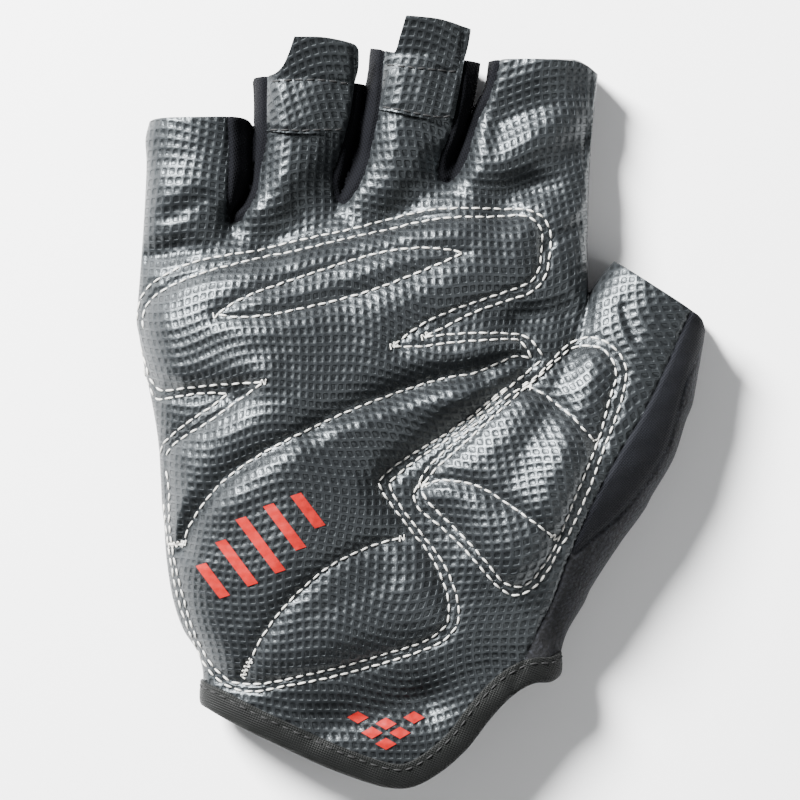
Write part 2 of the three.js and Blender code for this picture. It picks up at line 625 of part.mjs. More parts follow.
for (const [name, shape] of Object.entries(parts)) {
  const geometry = welded(shape);
  const node = new THREE.Mesh(geometry, finishes[name] ?? knit);
  node.name = name;
  group.add(node);
}

// The origin goes below the middle of the whole glove
const bounds = new THREE.Box3().setFromObject(group);
group.position.set(-(bounds.min.x + bounds.max.x) / 2, -(bounds.min.y + bounds.max.y) / 2, -bounds.min.z);

export default group;
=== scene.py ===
# The looks of a half-finger cycling glove that lies on its back with the palm up.
# Lengths are millimetres until a mesh is made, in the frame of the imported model:
# +X towards the thumb, +Y towards the finger openings, +Z up out of the palm.
# Places in the tables are pixels of the photograph's frame, which at() turns into millimetres.
import math

import bpy
import numpy as np
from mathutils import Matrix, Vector, kdtree


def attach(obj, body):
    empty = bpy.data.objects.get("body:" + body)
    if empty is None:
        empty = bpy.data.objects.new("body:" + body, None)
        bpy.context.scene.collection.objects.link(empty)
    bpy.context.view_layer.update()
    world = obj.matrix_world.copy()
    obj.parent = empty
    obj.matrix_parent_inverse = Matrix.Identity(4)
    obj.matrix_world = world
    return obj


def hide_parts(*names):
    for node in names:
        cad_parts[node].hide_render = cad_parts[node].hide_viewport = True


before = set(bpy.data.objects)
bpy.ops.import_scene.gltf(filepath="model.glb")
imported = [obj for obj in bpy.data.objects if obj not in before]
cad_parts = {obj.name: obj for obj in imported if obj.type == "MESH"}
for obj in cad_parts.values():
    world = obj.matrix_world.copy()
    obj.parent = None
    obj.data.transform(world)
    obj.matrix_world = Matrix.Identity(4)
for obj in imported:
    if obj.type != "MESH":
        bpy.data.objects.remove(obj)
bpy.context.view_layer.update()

MM = 0.001

# The photograph's frame: 800 by 800, seen from straight above
IMAGE_SIZE = 800
ORIGIN_PX = (421.05, 404.0)
MM_PER_PX = (0.2198, 0.2203)

# Sizes of the tubes and the underside, in millimetres
SEAM_HEIGHT = 8.0          # the side seam above the surface
UNDERSIDE_DROP = 1.12      # depth of the underside before it is pressed flat, per seam height
UNDERSIDE_TURN = 0.9       # height over which the pressed underside turns up
PALM_RISE = 15.0           # top of the palm above the side seam
FINGER_RISE = 8.8
BODY_END = (-13.0, 8.0)    # where the palm's dome runs out, past the line of the crotches
FINGER_ROOT = (-16.0, -2.0)
WALL = 1.2
BODY_POWER = 2.6           # superellipse powers of the sections
TUBE_POWER = 2.1
BLEND = 3.0                # width over which the tubes run into each other
LIP_REACH = 0.9            # how far in from a mouth its edge rolls down, and how far down
LIP_DROP = 0.5
FULL_RELIEF = 4.0          # height above the seam from which folds have their full depth

# Boxes that the meshes and the fields cover, and the spacing of meshes, fields and curves
TOP_BOX = ((-64.5, -87), (65, 87))
BACK_BOX = ((-65, -87), (65, 87))
FIELD_BOX = ((-67, -89), (67, 90))
GRID = 0.34
BACK_GRID = 0.9
FIELD = 0.3
CURVE_STEPS = 12
CURVE_STEP = 0.2
SEAM_STEP = 0.15
ROW_STEP = 0.1
BEYOND_STEP = 0.3
SNAP_STEP = 0.05
TOP_SNAP = 1.0             # how far a mesh's points move to a seam
BACK_SNAP = 1.2
TAB_SNAP = 0.5
NORMAL_STEP = 0.25         # half the base over which a slope is taken
BACK_NORMAL_STEP = 0.05
CROWD_SHIFT = 1.15         # how far the mesh's points crowd towards the silhouette
CROWD_SCALE = 1.45
CROWD_REACH = 10.0
# How far the distance fields reach from their lines
WALL_FIELD = 12.0
SEAM_FIELD = 3.0
CHANNEL_FIELD = 8.0
GUSSET_FIELD = 4.0
PAD_FIELD = 9.0

# Sizes of pads, grooves and stitches
PAD_PUFF = 2.2             # height of a pad above the leather round it
PAD_SHOULDER = 6.5
ROW_INSET = 0.9            # from a pad's edge to its inner row of stitches
ROW_DIP = 0.42             # depth of the groove along a row of stitches
ROW_REACH = 0.75
CHANNEL_DIP = 1.15         # depth of a sewn channel in a pad
CHANNEL_REACH = 2.3
SEAM_DIP = 0.45
SEAM_REACH = 0.55
ROLL_RISE = 0.55           # rolled edge of a gusset, with where it rises and falls
ROLL_UP = (0.1, 1.2)
ROLL_DOWN = (1.6, 3.4)
STITCH_PITCH = 2.4
STITCH_LENGTH = 1.95
STITCH_RADIUS = 0.24
STITCH_BENDS = np.array([-1, -0.72, -0.3, 0.3, 0.72, 1])
STITCH_TAPER = np.array([0.45, 0.8, 1.0, 1.0, 0.8, 0.45])
DARK_RADIUS = 0.2
TACK_WIDTH = 0.55          # bar tacks: short tight zigzags that lock the ends of rows
TACK_PITCH = 0.5
TACK_RADIUS = 0.17
TACK_LIFT = 0.16
TACK_STEP = 0.12
STITCH_LIFT = 0.22         # height of a stitch's middle, and depth of its ends
STITCH_SINK = 0.34
DARK_LIFT = 0.1
STITCH_SKEW = (0.10, 2.399)      # how far stitches lean and stretch, each with its turn from one to the next
STITCH_STRETCH = (0.06, 1.7)

# The embossed net
NET_ACROSS = 1.85          # pitch
NET_ALONG = 1.95
NET_STRETCH = 1.5          # the most that a slope stretches it
PIT_DEPTH = 0.19
PIT_POWER = 5              # superellipse power of a pit's outline
PIT_FLOOR = 0.25           # half widths of a pit's floor and rim, in pitches
PIT_RIM = 0.35
PIT_CLEAR = 0.4            # plain strip beside the silhouette
PRESSED = 0.8              # how much pits are pressed flat beside a row of stitches, and how far from it
PRESSED_REACH = 0.5

# The wrist binding, the pull tabs and the raised marks
BINDING_WIDTH = 5.0
TAPE = 0.65                # thickness of the binding tape
RING_STEPS = 360
TAB_THICKNESS = 1.1
TAB_SLOPE = 0.42           # rise of a tab's free end
TAB_BEND = 0.6             # how far before the finger's end the tab leaves it
TAB_GAP = 0.12
TAB_ROW_DIP = 0.45
TAB_ROW_REACH = 0.7
TAB_LIP_DROP = 0.3
TAB_LIP_REACH = 0.7
TAB_PIT_REACH = 0.8        # how far in from a tab's edge its pits have their full depth
TAB_BOW = 0.03             # bow of the net's rows over a tab
SIDE_TURN = (0.86, 0.985)  # where the binding turns round the sides, as a share of half the width
MARK_HEIGHT = 0.16
MARK_SINK = 0.3            # how deep a mark's underside lies in the leather
MARK_PITS = 0.35           # share of the pits' depth that shows through a mark
BAR_WIDTH = 11.0           # pixels
BAR_TURN = math.radians(53.0)
BAR_SKEW = 1.25
DIAMOND_HALF = (10.5, 6.0)

# Silhouette, clockwise from the little finger's opening.
# A wall is a side where the top meets the underside, and a mouth is an opening.
SILHOUETTE = [
    ("mouth", "little", [(148, 121), (156, 119), (200, 118), (240, 118), (248, 120.5), (253, 126.5)]),
    ("wall", "little_ring", [(253, 126.5), (253.5, 100), (253, 77.5)]),
    ("mouth", "ring", [(253, 77.5), (268, 77), (310, 80), (366, 84.5)]),
    ("wall", "ring_middle", [(366, 84.5), (368, 70.6), (370, 47.6)]),
    ("mouth", "middle", [(370, 47.6), (394, 53.5), (430, 58.5), (464, 61), (481, 62.5)]),
    ("wall", "middle_right", [(481, 62.5), (479, 76.7), (475.5, 95), (471, 114)]),
    ("wall", "index_left", [(471, 114), (476.7, 102), (484.5, 87.6), (488.8, 61)]),
    ("mouth", "index", [(488.8, 61), (509, 60), (560, 61), (584, 64), (599, 73.5)]),
    ("wall", "index_right", [(599, 73.5), (595, 115), (592, 147), (589.6, 197), (588.4, 252.5),
                             (589.6, 294)]),
    ("wall", "thumb_left", [(589.6, 294), (600, 279), (615, 261)]),
    ("mouth", "thumb", [(615, 261), (655, 287), (690.6, 310), (702, 319), (707, 332)]),
    ("wall", "thumb_right", [(707, 332), (700, 373), (694, 405), (688, 420), (675, 459), (654, 495),
                             (646, 510), (622, 543), (592, 589), (585, 604), (568, 633), (561, 657),
                             (560, 674)]),
    ("mouth", "wrist", [(560, 674), (552, 679), (534, 680), (514, 690), (489, 715), (465, 746), (436, 771),
                        (410, 784), (388, 784), (367, 778.5), (323, 762), (280, 742), (248, 727),
                        (201, 703)]),
    ("wall", "left", [(201, 703), (202, 686), (201, 668), (195.5, 651), (182.5, 631), (172, 601),
                      (165, 558), (162.5, 521), (161, 510), (157, 443), (150, 400), (143, 368), (138, 338),
                      (135, 321), (137, 294), (142, 225), (145, 161), (144, 138), (148, 121)]),
]

# The walls go on past the openings, so that distances to them stay even at a mouth
SIDES_BEYOND = {
    "left": [(148, 121), (144, 60)],
    "little_ring": [(253, 77.5), (253, 30)],
    "ring_middle": [(370, 47.6), (371, 10)],
    "middle_right": [(481, 62.5), (484, 20)],
    "index_left": [(488.8, 61), (491, 20)],
    "index_right": [(599, 73.5), (604, 20)],
    "thumb_left": [(615, 261), (650, 205)],
    "thumb_right": [(707, 332), (735, 270)],
    "wrist_right": [(560, 674), (560, 800)],
    "wrist_left": [(201, 703), (201, 760)],
}

# Edges of the tubes inside the silhouette: valleys from the crotch to the wall at the opening,
# and the sides of the body and the thumb where they run into each other
VALLEYS = {
    "little_ring": [(231, 228), (233, 213), (241, 203.5), (249.6, 186), (252.5, 163), (253, 126.5)],
    "ring_middle": [(336, 212), (342, 189), (348, 174), (354, 149), (358, 131), (361.5, 113), (366, 84.5)],
    "middle_index": [(447, 190), (452.4, 173.6), (457, 155.5), (461, 143), (465.8, 129), (471, 114)],
}
BODY_RIGHT = [(560, 674), (559, 645), (555, 625), (550, 594), (554, 540), (566, 470), (578, 400),
              (588, 330), (589.6, 294)]
# Where the body's dome ends at the roots of the fingers
CROTCH_LINE = [(120, 222), (236, 221), (345, 201), (447, 176), (520, 155), (640, 150)]
# Share of the palm's rise at places along the palm, in millimetres
PALM_RISE_SHARES = [(-90, 0.42), (-75, 0.62), (-60, 0.76), (-48, 0.88), (-36, 0.96), (-20, 1.0), (0, 0.97),
                    (16, 0.91), (28, 0.82), (38, 0.73), (48, 0.63), (58, 0.52)]

# The thumb's tube, in a frame turned by its lean, with its rise at places along it
THUMB_LEAN = 35.0
THUMB_LEFT = [(589.6, 294), (568, 340), (538, 390), (503, 440), (472, 500), (452, 560), (440, 620)]
THUMB_RIGHT = [(560, 674), (555, 700)]
THUMB_RISE = [
    ((700, 240), 8.6), ((661, 297), 9.0), ((646, 338), 10.2), ((630, 383), 11.3), ((606, 431), 12.3),
    ((575, 480), 13.0), ((542, 535), 12.6), ((520, 587), 10.0), ((505, 640), 5.0),
]

# Seams, and places far outside that close the regions to their right
THUMB_SEAM = [(702, 296), (690.6, 312), (669, 359), (645, 408), (620, 450), (597.5, 490), (567.5, 557),
              (553, 597), (537, 631), (519, 671), (508, 700)]
SIDE_SEAM = [(716, 324), (704, 344.5), (686, 382), (674.5, 424), (665, 451.5), (654, 470), (643.6, 485),
             (622, 511), (602, 529), (589.6, 538.5), (573.5, 554)]
BACK_THUMB_SEAM = [(532, 714), (541, 660), (556, 589), (582, 466), (602, 372), (611, 292), (614, 262),
                   (616, 200)]
THUMB_SURROUND = [(702, 200), (800, 200), (800, 760), (480, 760)]
FUZZY_SURROUND = [(480, 760), (800, 760), (800, 260)]
BACK_THUMB_SURROUND = [(800, 200), (800, 760)]
GUSSETS = {
    "gusset_little_ring": {
        "left": [(227.8, 100), (228, 125), (229, 163), (227, 207)],
        "foot": [(227, 207), (229, 217), (235.5, 222.5), (242, 219.5)],
        "right": [(242, 219.5), (256, 194), (260.5, 169), (266.5, 140), (267, 117), (267.5, 60)],
    },
    "gusset_ring_middle": {
        "left": [(356, 55), (353.5, 85), (350, 115), (344.5, 137), (336, 164), (332, 176), (334, 194)],
        "foot": [(334, 194), (337.5, 201.5), (345, 203.5), (350.5, 199)],
        "right": [(350.5, 199), (359, 186), (366.4, 167.6), (372.4, 143), (379, 110.6), (383.3, 64.5),
                  (386, 30)],
    },
    "gusset_middle_index": {
        "left": [(463, 45), (461, 67), (458.5, 95), (453.6, 119), (448.8, 137), (440.3, 156), (438, 173)],
        "foot": [(438, 173), (441, 180), (447, 182.5), (453, 179.5)],
        "right": [(453, 179.5), (459.7, 172), (468, 155.5), (471.8, 141), (479, 119), (486.4, 104.5),
                  (492.4, 88.8), (499.7, 62), (506, 30)],
    },
}

# Twin rows of stitches round the pads: each row is a set of strands that meet at sharp tips
TWIN_ROWS = [
    [[(136, 322), (138, 305), (146, 289.5), (166, 275), (193.5, 263), (226, 256), (258, 251), (281, 245),
      (317, 237), (350, 230), (384, 221), (418.5, 212.6), (441, 209.5), (507, 209.4), (525, 210),
      (539, 215), (547, 224), (550.6, 234), (549.4, 257), (547, 271), (541, 283.5), (530, 293), (498, 304),
      (470, 314.5), (449.5, 325), (424, 337.5)],
     [(424, 337.5), (463, 334), (507, 334), (523, 336), (534.5, 344.5), (542.5, 357)]],
    [[(143.5, 330), (142.5, 318), (150, 301), (170.5, 287), (189, 279), (212, 271), (239, 264), (267, 257),
      (294.5, 252), (327, 244), (361, 236), (389, 230), (418.5, 223), (451, 218.4), (489, 217.6),
      (521, 216), (531, 219), (539, 226), (542, 236.5), (541, 252.5), (539.5, 266), (534.5, 278),
      (525, 285), (489, 298), (452, 311), (422, 325), (392, 347)],
     [(392, 347), (420, 347), (452, 343), (498, 340), (516, 340), (525, 347), (531.5, 359)]],
    [[(139, 345), (144, 361), (150, 379), (160, 390), (180, 389), (212, 385.5), (235, 384), (265, 382.5)],
     [(265, 382.5), (249, 394), (230, 407), (209.5, 422), (189, 434), (170.5, 448), (166, 457)]],
    [[(142, 367), (146, 381), (157, 399), (170, 398), (189, 395), (212, 393), (229, 394)],
     [(229, 394), (212, 407), (193.5, 419), (175, 433), (164, 443), (159, 455)]],
    [[(507, 387), (489, 401), (470, 417), (440, 437.5), (417, 451), (394, 466), (378, 481)],
     [(378, 481), (385, 495), (397, 511), (413, 532), (429, 552), (440, 573), (448, 598), (447, 620.5),
      (438, 631), (421, 641), (388.5, 651), (345, 664), (302, 674), (271, 681), (245, 683), (230, 680),
      (215, 668), (204, 653), (193, 629), (182.5, 594), (174, 558), (169.5, 525), (169, 490), (166, 470)]],
    [[(541, 360.5), (500, 395), (463, 428), (440, 444), (413, 462), (389, 482)],
     [(389, 482), (394, 495), (406, 513), (424, 536), (440, 557), (449.5, 575), (457, 598), (458, 619),
      (450, 633), (438, 642), (410, 653), (367, 666), (323.5, 677), (280, 685.5), (258, 690), (239, 689),
      (224, 683), (208.5, 670), (199, 655), (189, 631), (178, 599), (171, 564), (166, 532), (163, 503)]],
    [[(530, 382), (544, 369), (557, 355), (571, 343), (585, 338), (601, 340), (615, 350), (624, 364),
      (625, 378), (619, 405), (608, 435), (599, 458), (590, 483), (578, 511), (567, 534), (557, 550),
      (546, 571), (532, 587), (516, 594), (502, 589), (486, 573), (470, 554.5), (452, 536), (433.5, 520),
      (418, 507), (414, 495), (420, 480), (429, 466), (452, 444), (475, 424), (498, 403), (530, 382)]],
    [[(537, 378), (555, 362), (571, 349), (585, 346), (601, 349), (612.5, 362), (615, 378), (608, 401),
      (599, 435), (587, 465), (573.5, 497), (560, 532), (553, 548), (541, 566), (530, 580), (516, 585.5),
      (502, 580), (486, 561), (468, 541), (447, 520), (427, 500), (422, 491)]],
    [[(423, 484), (436, 468), (456, 450), (479, 429), (502, 408), (520, 392), (537, 378)]],
]
# The seam between the upper pad and the heel pad
HEEL_PAD_SEAM = [(182, 549), (189, 528), (203, 505), (223, 482), (249, 462), (276, 446), (308, 430),
                 (340, 415), (377, 400), (414, 387), (446, 378), (475, 373), (498, 363)]
# Single rows, each along a sewn channel
CHANNEL_ROWS = [
    [[(219, 315), (230, 307), (251, 296), (281, 285), (315, 273.5), (350, 262), (384, 253), (418.5, 249),
      (446, 250.5), (463, 254)],
     [(463, 254), (441, 264), (407, 278), (372.5, 291), (338, 301), (304, 309), (269, 316), (235, 318),
      (219, 315)]],
    [HEEL_PAD_SEAM + [(518, 356), (530, 359)]],
    [[(401.5, 537), (380, 542), (352, 553), (328, 566), (306, 584), (287, 603), (271, 623), (258, 644),
      (250, 662), (243, 675)]],
    [[(525, 385), (541, 393), (557, 405), (573.5, 419), (585, 432), (594, 441)]],
    [[(421, 486), (438, 480), (459, 481), (479, 486), (498, 497), (525, 515.5), (553, 536)]],
]
SHORT_ROWS = [[[(167, 544), (186, 544)]]]
# Bar tacks
BAR_TACKS = [
    [(243, 677), (246, 668), (252, 658)], [(168, 546), (177, 544), (187, 542)], [(219, 317), (214, 316)],
    [(421, 339), (429, 334)], [(390, 348), (397, 344)], [(262, 383), (268, 382)], [(524, 383), (531, 388)],
    [(594, 439), (597, 443)], [(551, 534), (556, 538)], [(418, 485), (426, 484)], [(399, 538), (405, 536)],
]

# Pad edges, half way between the twin rows. The upper pad and the heel pad meet along one seam.
PAD_MEETING = HEEL_PAD_SEAM + [(518, 358), (530, 359.5)]
PADS = {
    "upper_palm_pad": [
        [(143, 364), (139.5, 340), (138.5, 322), (142, 306), (151, 294), (168, 281), (191, 271),
         (219, 263.5), (262, 254), (306, 245), (356, 233), (401, 221.5), (446, 214), (498, 213.5),
         (524, 213.2), (535, 217), (543, 225), (546.3, 236), (545, 255), (543, 269), (538, 281),
         (527.5, 289), (493.5, 301), (461, 313), (436, 325), (406, 342)],
        [(406, 342), (441, 340.5), (480, 337.5), (519, 338), (530, 346), (537, 358)],
        [(537, 358), (530, 359.5)],
        PAD_MEETING[::-1],
        [(182, 549), (171, 548)],
        [(171, 548), (168, 530), (166, 505), (165.5, 480), (162.5, 457)],
        [(162.5, 457), (169, 444), (190, 428), (210, 415), (230, 401), (247, 388)],
        [(247, 388), (212, 389.5), (180, 392.5), (158, 395), (149, 380), (143, 364)],
    ],
    "heel_pad": [
        PAD_MEETING,
        [(530, 359.5), (537, 358)],
        [(537, 358), (524, 374), (494, 398), (466, 422.5), (440, 441), (415, 456.5), (394, 471),
         (383.5, 481.5)],
        [(383.5, 481.5), (391, 496), (406, 513), (421, 533), (434, 552), (445, 574), (452.5, 598),
         (452.5, 620), (444, 632), (430, 642), (399, 652), (356, 665), (313, 675.5), (276, 683),
         (252, 686.5), (234, 684.5), (219, 675), (206, 661.5), (196, 642), (185.5, 612), (176, 578.5),
         (171, 548)],
        [(171, 548), (182, 549)],
    ],
    "thumb_pad": [
        [(533, 380), (549.5, 365), (564, 352), (575, 345), (587, 341.8), (601, 344.5), (613.5, 356),
         (620, 371), (616, 394), (605, 431), (593, 461), (581, 491), (569, 521), (556, 548), (543.5, 568),
         (531, 583.5), (516, 590), (502, 584.5), (486, 567), (469, 548), (449.5, 528), (430, 510),
         (418.5, 498), (417, 488), (425, 473), (441, 456.5), (464, 437), (488.5, 416), (511, 396.5),
         (533, 380)],
    ],
}

# Folds, dents and swellings of the top: from, to, height and reach, the last two in millimetres
FOLDS = [
    ("dip at the little finger's side", (148, 256), (180, 246), -1.9, 2.8),
    ("fold under the little finger", (172, 216), (202, 200), -1.2, 2.4),
    ("little finger hump", (170, 192), (238, 186), 1.2, 6.0),
    ("valley at the ring finger", (268, 248), (352, 152), -2.5, 4.2),
    ("flat below the ring finger", (325, 236), (402, 206), -1.0, 6.0),
    ("ridge left of that valley", (262, 210), (300, 160), 0.8, 2.8),
    ("valley at the middle finger", (388, 220), (448, 162), -2.3, 4.0),
    ("ring finger hump", (285, 150), (300, 110), 0.5, 4.0),
    ("index upper fold", (500, 122), (580, 88), -3.0, 5.2),
    ("index lit band", (500, 160), (566, 116), 0.5, 3.0),
    ("index diagonal", (503, 206), (588, 137), -3.0, 4.6),
    ("index ripple", (545, 246), (590, 216), -0.8, 1.6),
    ("index second ripple", (562, 225), (588, 200), 0.5, 1.4),
    ("hollow beside the thumb", (521, 322), (562, 314), -2.6, 4.0),
    ("valley beside the thumb pad", (395, 470), (520, 375), -1.2, 3.2),
    ("hollow of the palm", (425, 430), (400, 560), -3.0, 13.0),
    ("crest of the palm's left side", (266, 330), (292, 545), 2.6, 12.0),
    ("slope right of the upper pad", (500, 250), (520, 300), -1.0, 9.0),
    ("ring finger crest", (284, 205), (281, 90), 0.9, 2.6),
    ("ring finger hollow", (326, 190), (338, 95), -0.9, 3.0),
    ("middle finger crest", (392, 190), (398, 75), 0.9, 2.6),
    ("middle finger hollow", (432, 165), (447, 75), -0.9, 3.0),
    ("index crest", (477, 172), (501, 62), 1.0, 2.2),
    ("valley of the left notch", (160, 396), (240, 393), -1.0, 2.4),
    ("shadow above the left notch", (155, 382), (172, 383), -0.7, 1.6),
    ("fill above the left notch", (182, 382), (264, 375), 1.2, 3.6),
    ("fill along the heel seam", (186, 518), (292, 440), 1.4, 5.0),
    ("valley of the right notch", (450, 326), (525, 316), -1.0, 3.0),
    ("fill below the right notch", (412, 346), (480, 342), 1.1, 3.2),
    ("fill at the heel pad's upper edge", (335, 428), (465, 392), 1.5, 3.6),
    ("valley below the heel", (325, 722), (425, 700), -1.8, 4.6),
    ("right end of that valley", (430, 698), (520, 655), -1.2, 5.0),
    ("crest of the thumb pad", (556, 470), (508, 552), 3.4, 10.0),
    ("crest of the heel lens", (405, 590), (305, 655), 1.3, 6.5),
    ("swelling of the pad's left end", (172, 355), (222, 318), 1.2, 9.0),
    ("lens hollow", (250, 305), (330, 288), -0.5, 4.0),
    ("crease of the thumb", (623, 308), (633.5, 338), -0.7, 1.3),
    ("fuzzy panel hollow", (640, 500), (600, 545), -0.5, 4.0),
]

# How far the net's rows turn, in degrees, round a place, with a reach in millimetres
NET_TURNS = [
    ("upper cell of the thumb pad", (592, 385), 56, 9.0),
    ("right of the thumb pad's middle", (560, 440), 20, 7.0),
    ("left of the thumb pad's middle", (485, 440), -20, 6.0),
    ("left end of the thumb pad", (436, 496), 27, 5.5),
    ("foot of the thumb pad", (510, 560), -14, 6.0),
    ("tip of the thumb", (650, 320), 58, 9.0),
    ("side of the thumb", (640, 420), 51, 9.0),
    ("index finger, left", (500, 130), 20, 6.0),
    ("index finger, middle", (550, 140), -34, 6.0),
    ("index finger, right", (585, 175), 37, 5.0),
    ("below the index finger", (520, 200), 14, 6.0),
    ("middle finger", (425, 150), -20, 6.0),
    ("ring finger", (310, 165), -27, 7.0),
    ("little finger", (190, 170), 10, 9.0),
    ("upper pad, left", (180, 330), 20, 9.0),
    ("upper pad, middle", (330, 350), -14, 12.0),
    ("heel, middle", (330, 480), 20, 14.0),
    ("heel, left", (215, 580), -17, 10.0),
    ("heel, right", (400, 600), -20, 10.0),
    ("wrist", (400, 730), 15, 10.0),
]

# Slow waves: turn per millimetre across and along, and phase
SURFACE_WAVES = [
    (0.16, (0.31, 0.17, 0.0), (-0.12, 0.23, 1.3)),
    (0.08, (0.83, -0.41, 0.7), (0.36, 0.71, 0.0)),
]
NET_WAVES_ACROSS = [(1.4, (0.03, 0.10, 0.4)), (0.8, (-0.06, 0.21, 1.0))]
NET_WAVES_ALONG = [(1.8, (0.11, -0.02, 0.9)), (1.0, (0.22, 0.07, 0.0))]

# Pull tabs: a second layer of leather over the front of two fingers. "end" is where the finger ends,
# and "turn" is the turn of the net in degrees.
TABS = {
    "ring_pull_tab": {
        "outline": [[(295, 39.5), (323, 40), (347, 44), (356, 47), (359, 52)],
                    [(359, 52), (358.5, 69), (354.5, 84)],
                    [(354.5, 84), (350, 115), (346, 131)],
                    [(346, 131), (320, 134.5), (290, 134.5), (267, 132)],
                    [(267, 132), (267, 117), (267.5, 85), (268.5, 77)],
                    [(268.5, 77), (276, 74.5), (283, 68), (289, 56), (295, 39.5)]],
        "rows": [[(271, 83), (300, 81.5), (325, 82), (350, 85)], [(269, 131), (300, 132), (344, 130)]],
        "end": 77.0,
        "turn": 17.0,
    },
    "middle_pull_tab": {
        "outline": [[(406, 18.4), (440, 22), (471, 31)],
                    [(471, 31), (468, 48), (464, 62)],
                    [(464, 62), (458.5, 95), (453.6, 119)],
                    [(453.6, 119), (440, 121), (415, 118), (395, 113.5), (379, 110.6)],
                    [(379, 110.6), (382, 89), (384.5, 64), (386, 52)],
                    [(386, 52), (394, 54), (400, 38), (406, 18.4)]],
        "rows": [[(386, 66), (405, 68.5), (430, 71), (457, 73)], [(382, 108), (410, 113.5), (435, 118),
                  (452, 117)]],
        "end": 55.0,
        "turn": -14.0,
    },
}

# The tape's profile: distance in from the wrist's edge, and height off the wall's middle, outer leaf first
HALF_TAPE = WALL / 2 + TAPE
TAPE_PROFILE = [
    (BINDING_WIDTH, WALL / 2 + 0.02), (BINDING_WIDTH, HALF_TAPE - 0.12), (BINDING_WIDTH - 0.25, HALF_TAPE),
    (BINDING_WIDTH - 1.0, HALF_TAPE - 0.05), (BINDING_WIDTH - 1.4, HALF_TAPE + 0.02), (2.2, HALF_TAPE + 0.12),
    (1.0, HALF_TAPE + 0.05), (0.2, HALF_TAPE - 0.1), (-0.35, HALF_TAPE * 0.72), (-0.6, HALF_TAPE * 0.3),
    (-0.6, -HALF_TAPE * 0.3), (-0.35, -HALF_TAPE * 0.72), (0.2, -HALF_TAPE + 0.1), (1.0, -HALF_TAPE),
    (2.2, -HALF_TAPE), (BINDING_WIDTH - 0.25, -HALF_TAPE), (BINDING_WIDTH, -HALF_TAPE + 0.12),
    (BINDING_WIDTH, -WALL / 2 - 0.02), (1.2, -WALL / 2 - 0.02), (1.0, 0.0), (1.2, WALL / 2 + 0.02),
]
TAPE_ROW = (3, 4)          # the stitches run between these two points of the profile

# Red marks of a plain design: slanted bars with their half lengths, and a small cluster of diamonds
BARS = [(214, 579, 20), (238, 561, 27), (262, 543, 33), (286, 525, 27), (309, 509, 20)]
DIAMONDS = [(358, 716), (386, 722), (414, 716), (372, 731), (400, 731), (386, 742)]

# The pieces of the top: node, with the piece's name and slot
TOP_PIECES = {
    "upper_palm_pad": ("upper_palm_pad_cover", "pad_leather"),
    "heel_pad": ("heel_pad_cover", "pad_leather"),
    "thumb_pad": ("thumb_pad_cover", "pad_leather"),
    "gusset_little_ring": ("gusset_little_ring_knit", "gusset_knit"),
    "gusset_ring_middle": ("gusset_ring_middle_knit", "gusset_knit"),
    "gusset_middle_index": ("gusset_middle_index_knit", "gusset_knit"),
    "palm_panel": ("palm_leather", "palm_leather"),
    "thumb_side_panel": ("thumb_smooth_panel", "side_panel"),
    "thumb_back_panel": ("thumb_fuzzy_panel", "thumb_terry"),
}


# Curves
def at(points):
    """Places in the photograph's frame as millimetres in the model's frame."""
    p = np.asarray(points, float).reshape(-1, 2)
    across = (p[:, 0] - ORIGIN_PX[0]) * MM_PER_PX[0]
    along = (ORIGIN_PX[1] - p[:, 1]) * MM_PER_PX[1]
    return np.stack([across, along], 1)


def between(a, b, start, end, t):
    """Places at t on the line that is at a where t is start and at b where t is end."""
    return (end - t) / (end - start) * a + (t - start) / (end - start) * b


def run_along(line):
    """Length along a line at each of its points."""
    return np.concatenate([[0], np.cumsum(np.linalg.norm(np.diff(line, axis=0), axis=1))])


def smooth(points, step=CURVE_STEP):
    """A centripetal Catmull-Rom curve through the points, at even steps."""
    p = np.asarray(points, float)
    if len(p) > 2:
        p = np.vstack([2 * p[0] - p[1], p, 2 * p[-1] - p[-2]])
        pieces = []
        for a, b, c, d in zip(p[:-3], p[1:-2], p[2:-1], p[3:]):
            ta, tb = 0.0, math.dist(a, b) ** 0.5
            tc = tb + math.dist(b, c) ** 0.5
            td = tc + math.dist(c, d) ** 0.5
            t = np.linspace(tb, tc, CURVE_STEPS, endpoint=False)[:, None]
            bc = between(b, c, tb, tc, t)
            abc = between(between(a, b, ta, tb, t), bc, ta, tc, t)
            bcd = between(bc, between(c, d, tc, td, t), tb, td, t)
            pieces.append(between(abc, bcd, tb, tc, t))
        p = np.vstack(pieces + [p[-2:-1]])
    run = run_along(p)
    count = max(int(round(run[-1] / step)), 1)
    even = np.linspace(0, run[-1], count + 1)
    return np.stack([np.interp(even, run, p[:, 0]), np.interp(even, run, p[:, 1])], 1)


def curve(points, step=CURVE_STEP):
    """A smooth line through places in the photograph's frame."""
    return smooth(at(points), step)


def chain(*strands):
    """Smooth strands that meet at corners, as one line."""
    lines = [curve(strand) for strand in strands]
    return np.vstack([line[:-1] for line in lines[:-1]] + [lines[-1]])


outline = {name: curve(points, SEAM_STEP) for _, name, points in SILHOUETTE}
walls = {name: outline[name] for kind, name, _ in SILHOUETTE if kind == "wall"}
mouths = {name: outline[name] for kind, name, _ in SILHOUETTE if kind == "mouth"}
silhouette = np.vstack([line[:-1] for line in outline.values()])
beyond = {name: curve(points, BEYOND_STEP) for name, points in SIDES_BEYOND.items()}
thumb_seam = curve(THUMB_SEAM, SEAM_STEP)
side_seam = curve(SIDE_SEAM, SEAM_STEP)
back_seam = curve(BACK_THUMB_SEAM)
pad_outlines = {name: chain(*strands) for name, strands in PADS.items()}
gusset_lines = {name: chain(g["left"], g["foot"], g["right"]) for name, g in GUSSETS.items()}
channels = [strand for row in CHANNEL_ROWS for strand in row]
stitch_rows = [curve(strand, ROW_STEP) for row in TWIN_ROWS + CHANNEL_ROWS + SHORT_ROWS for strand in row]

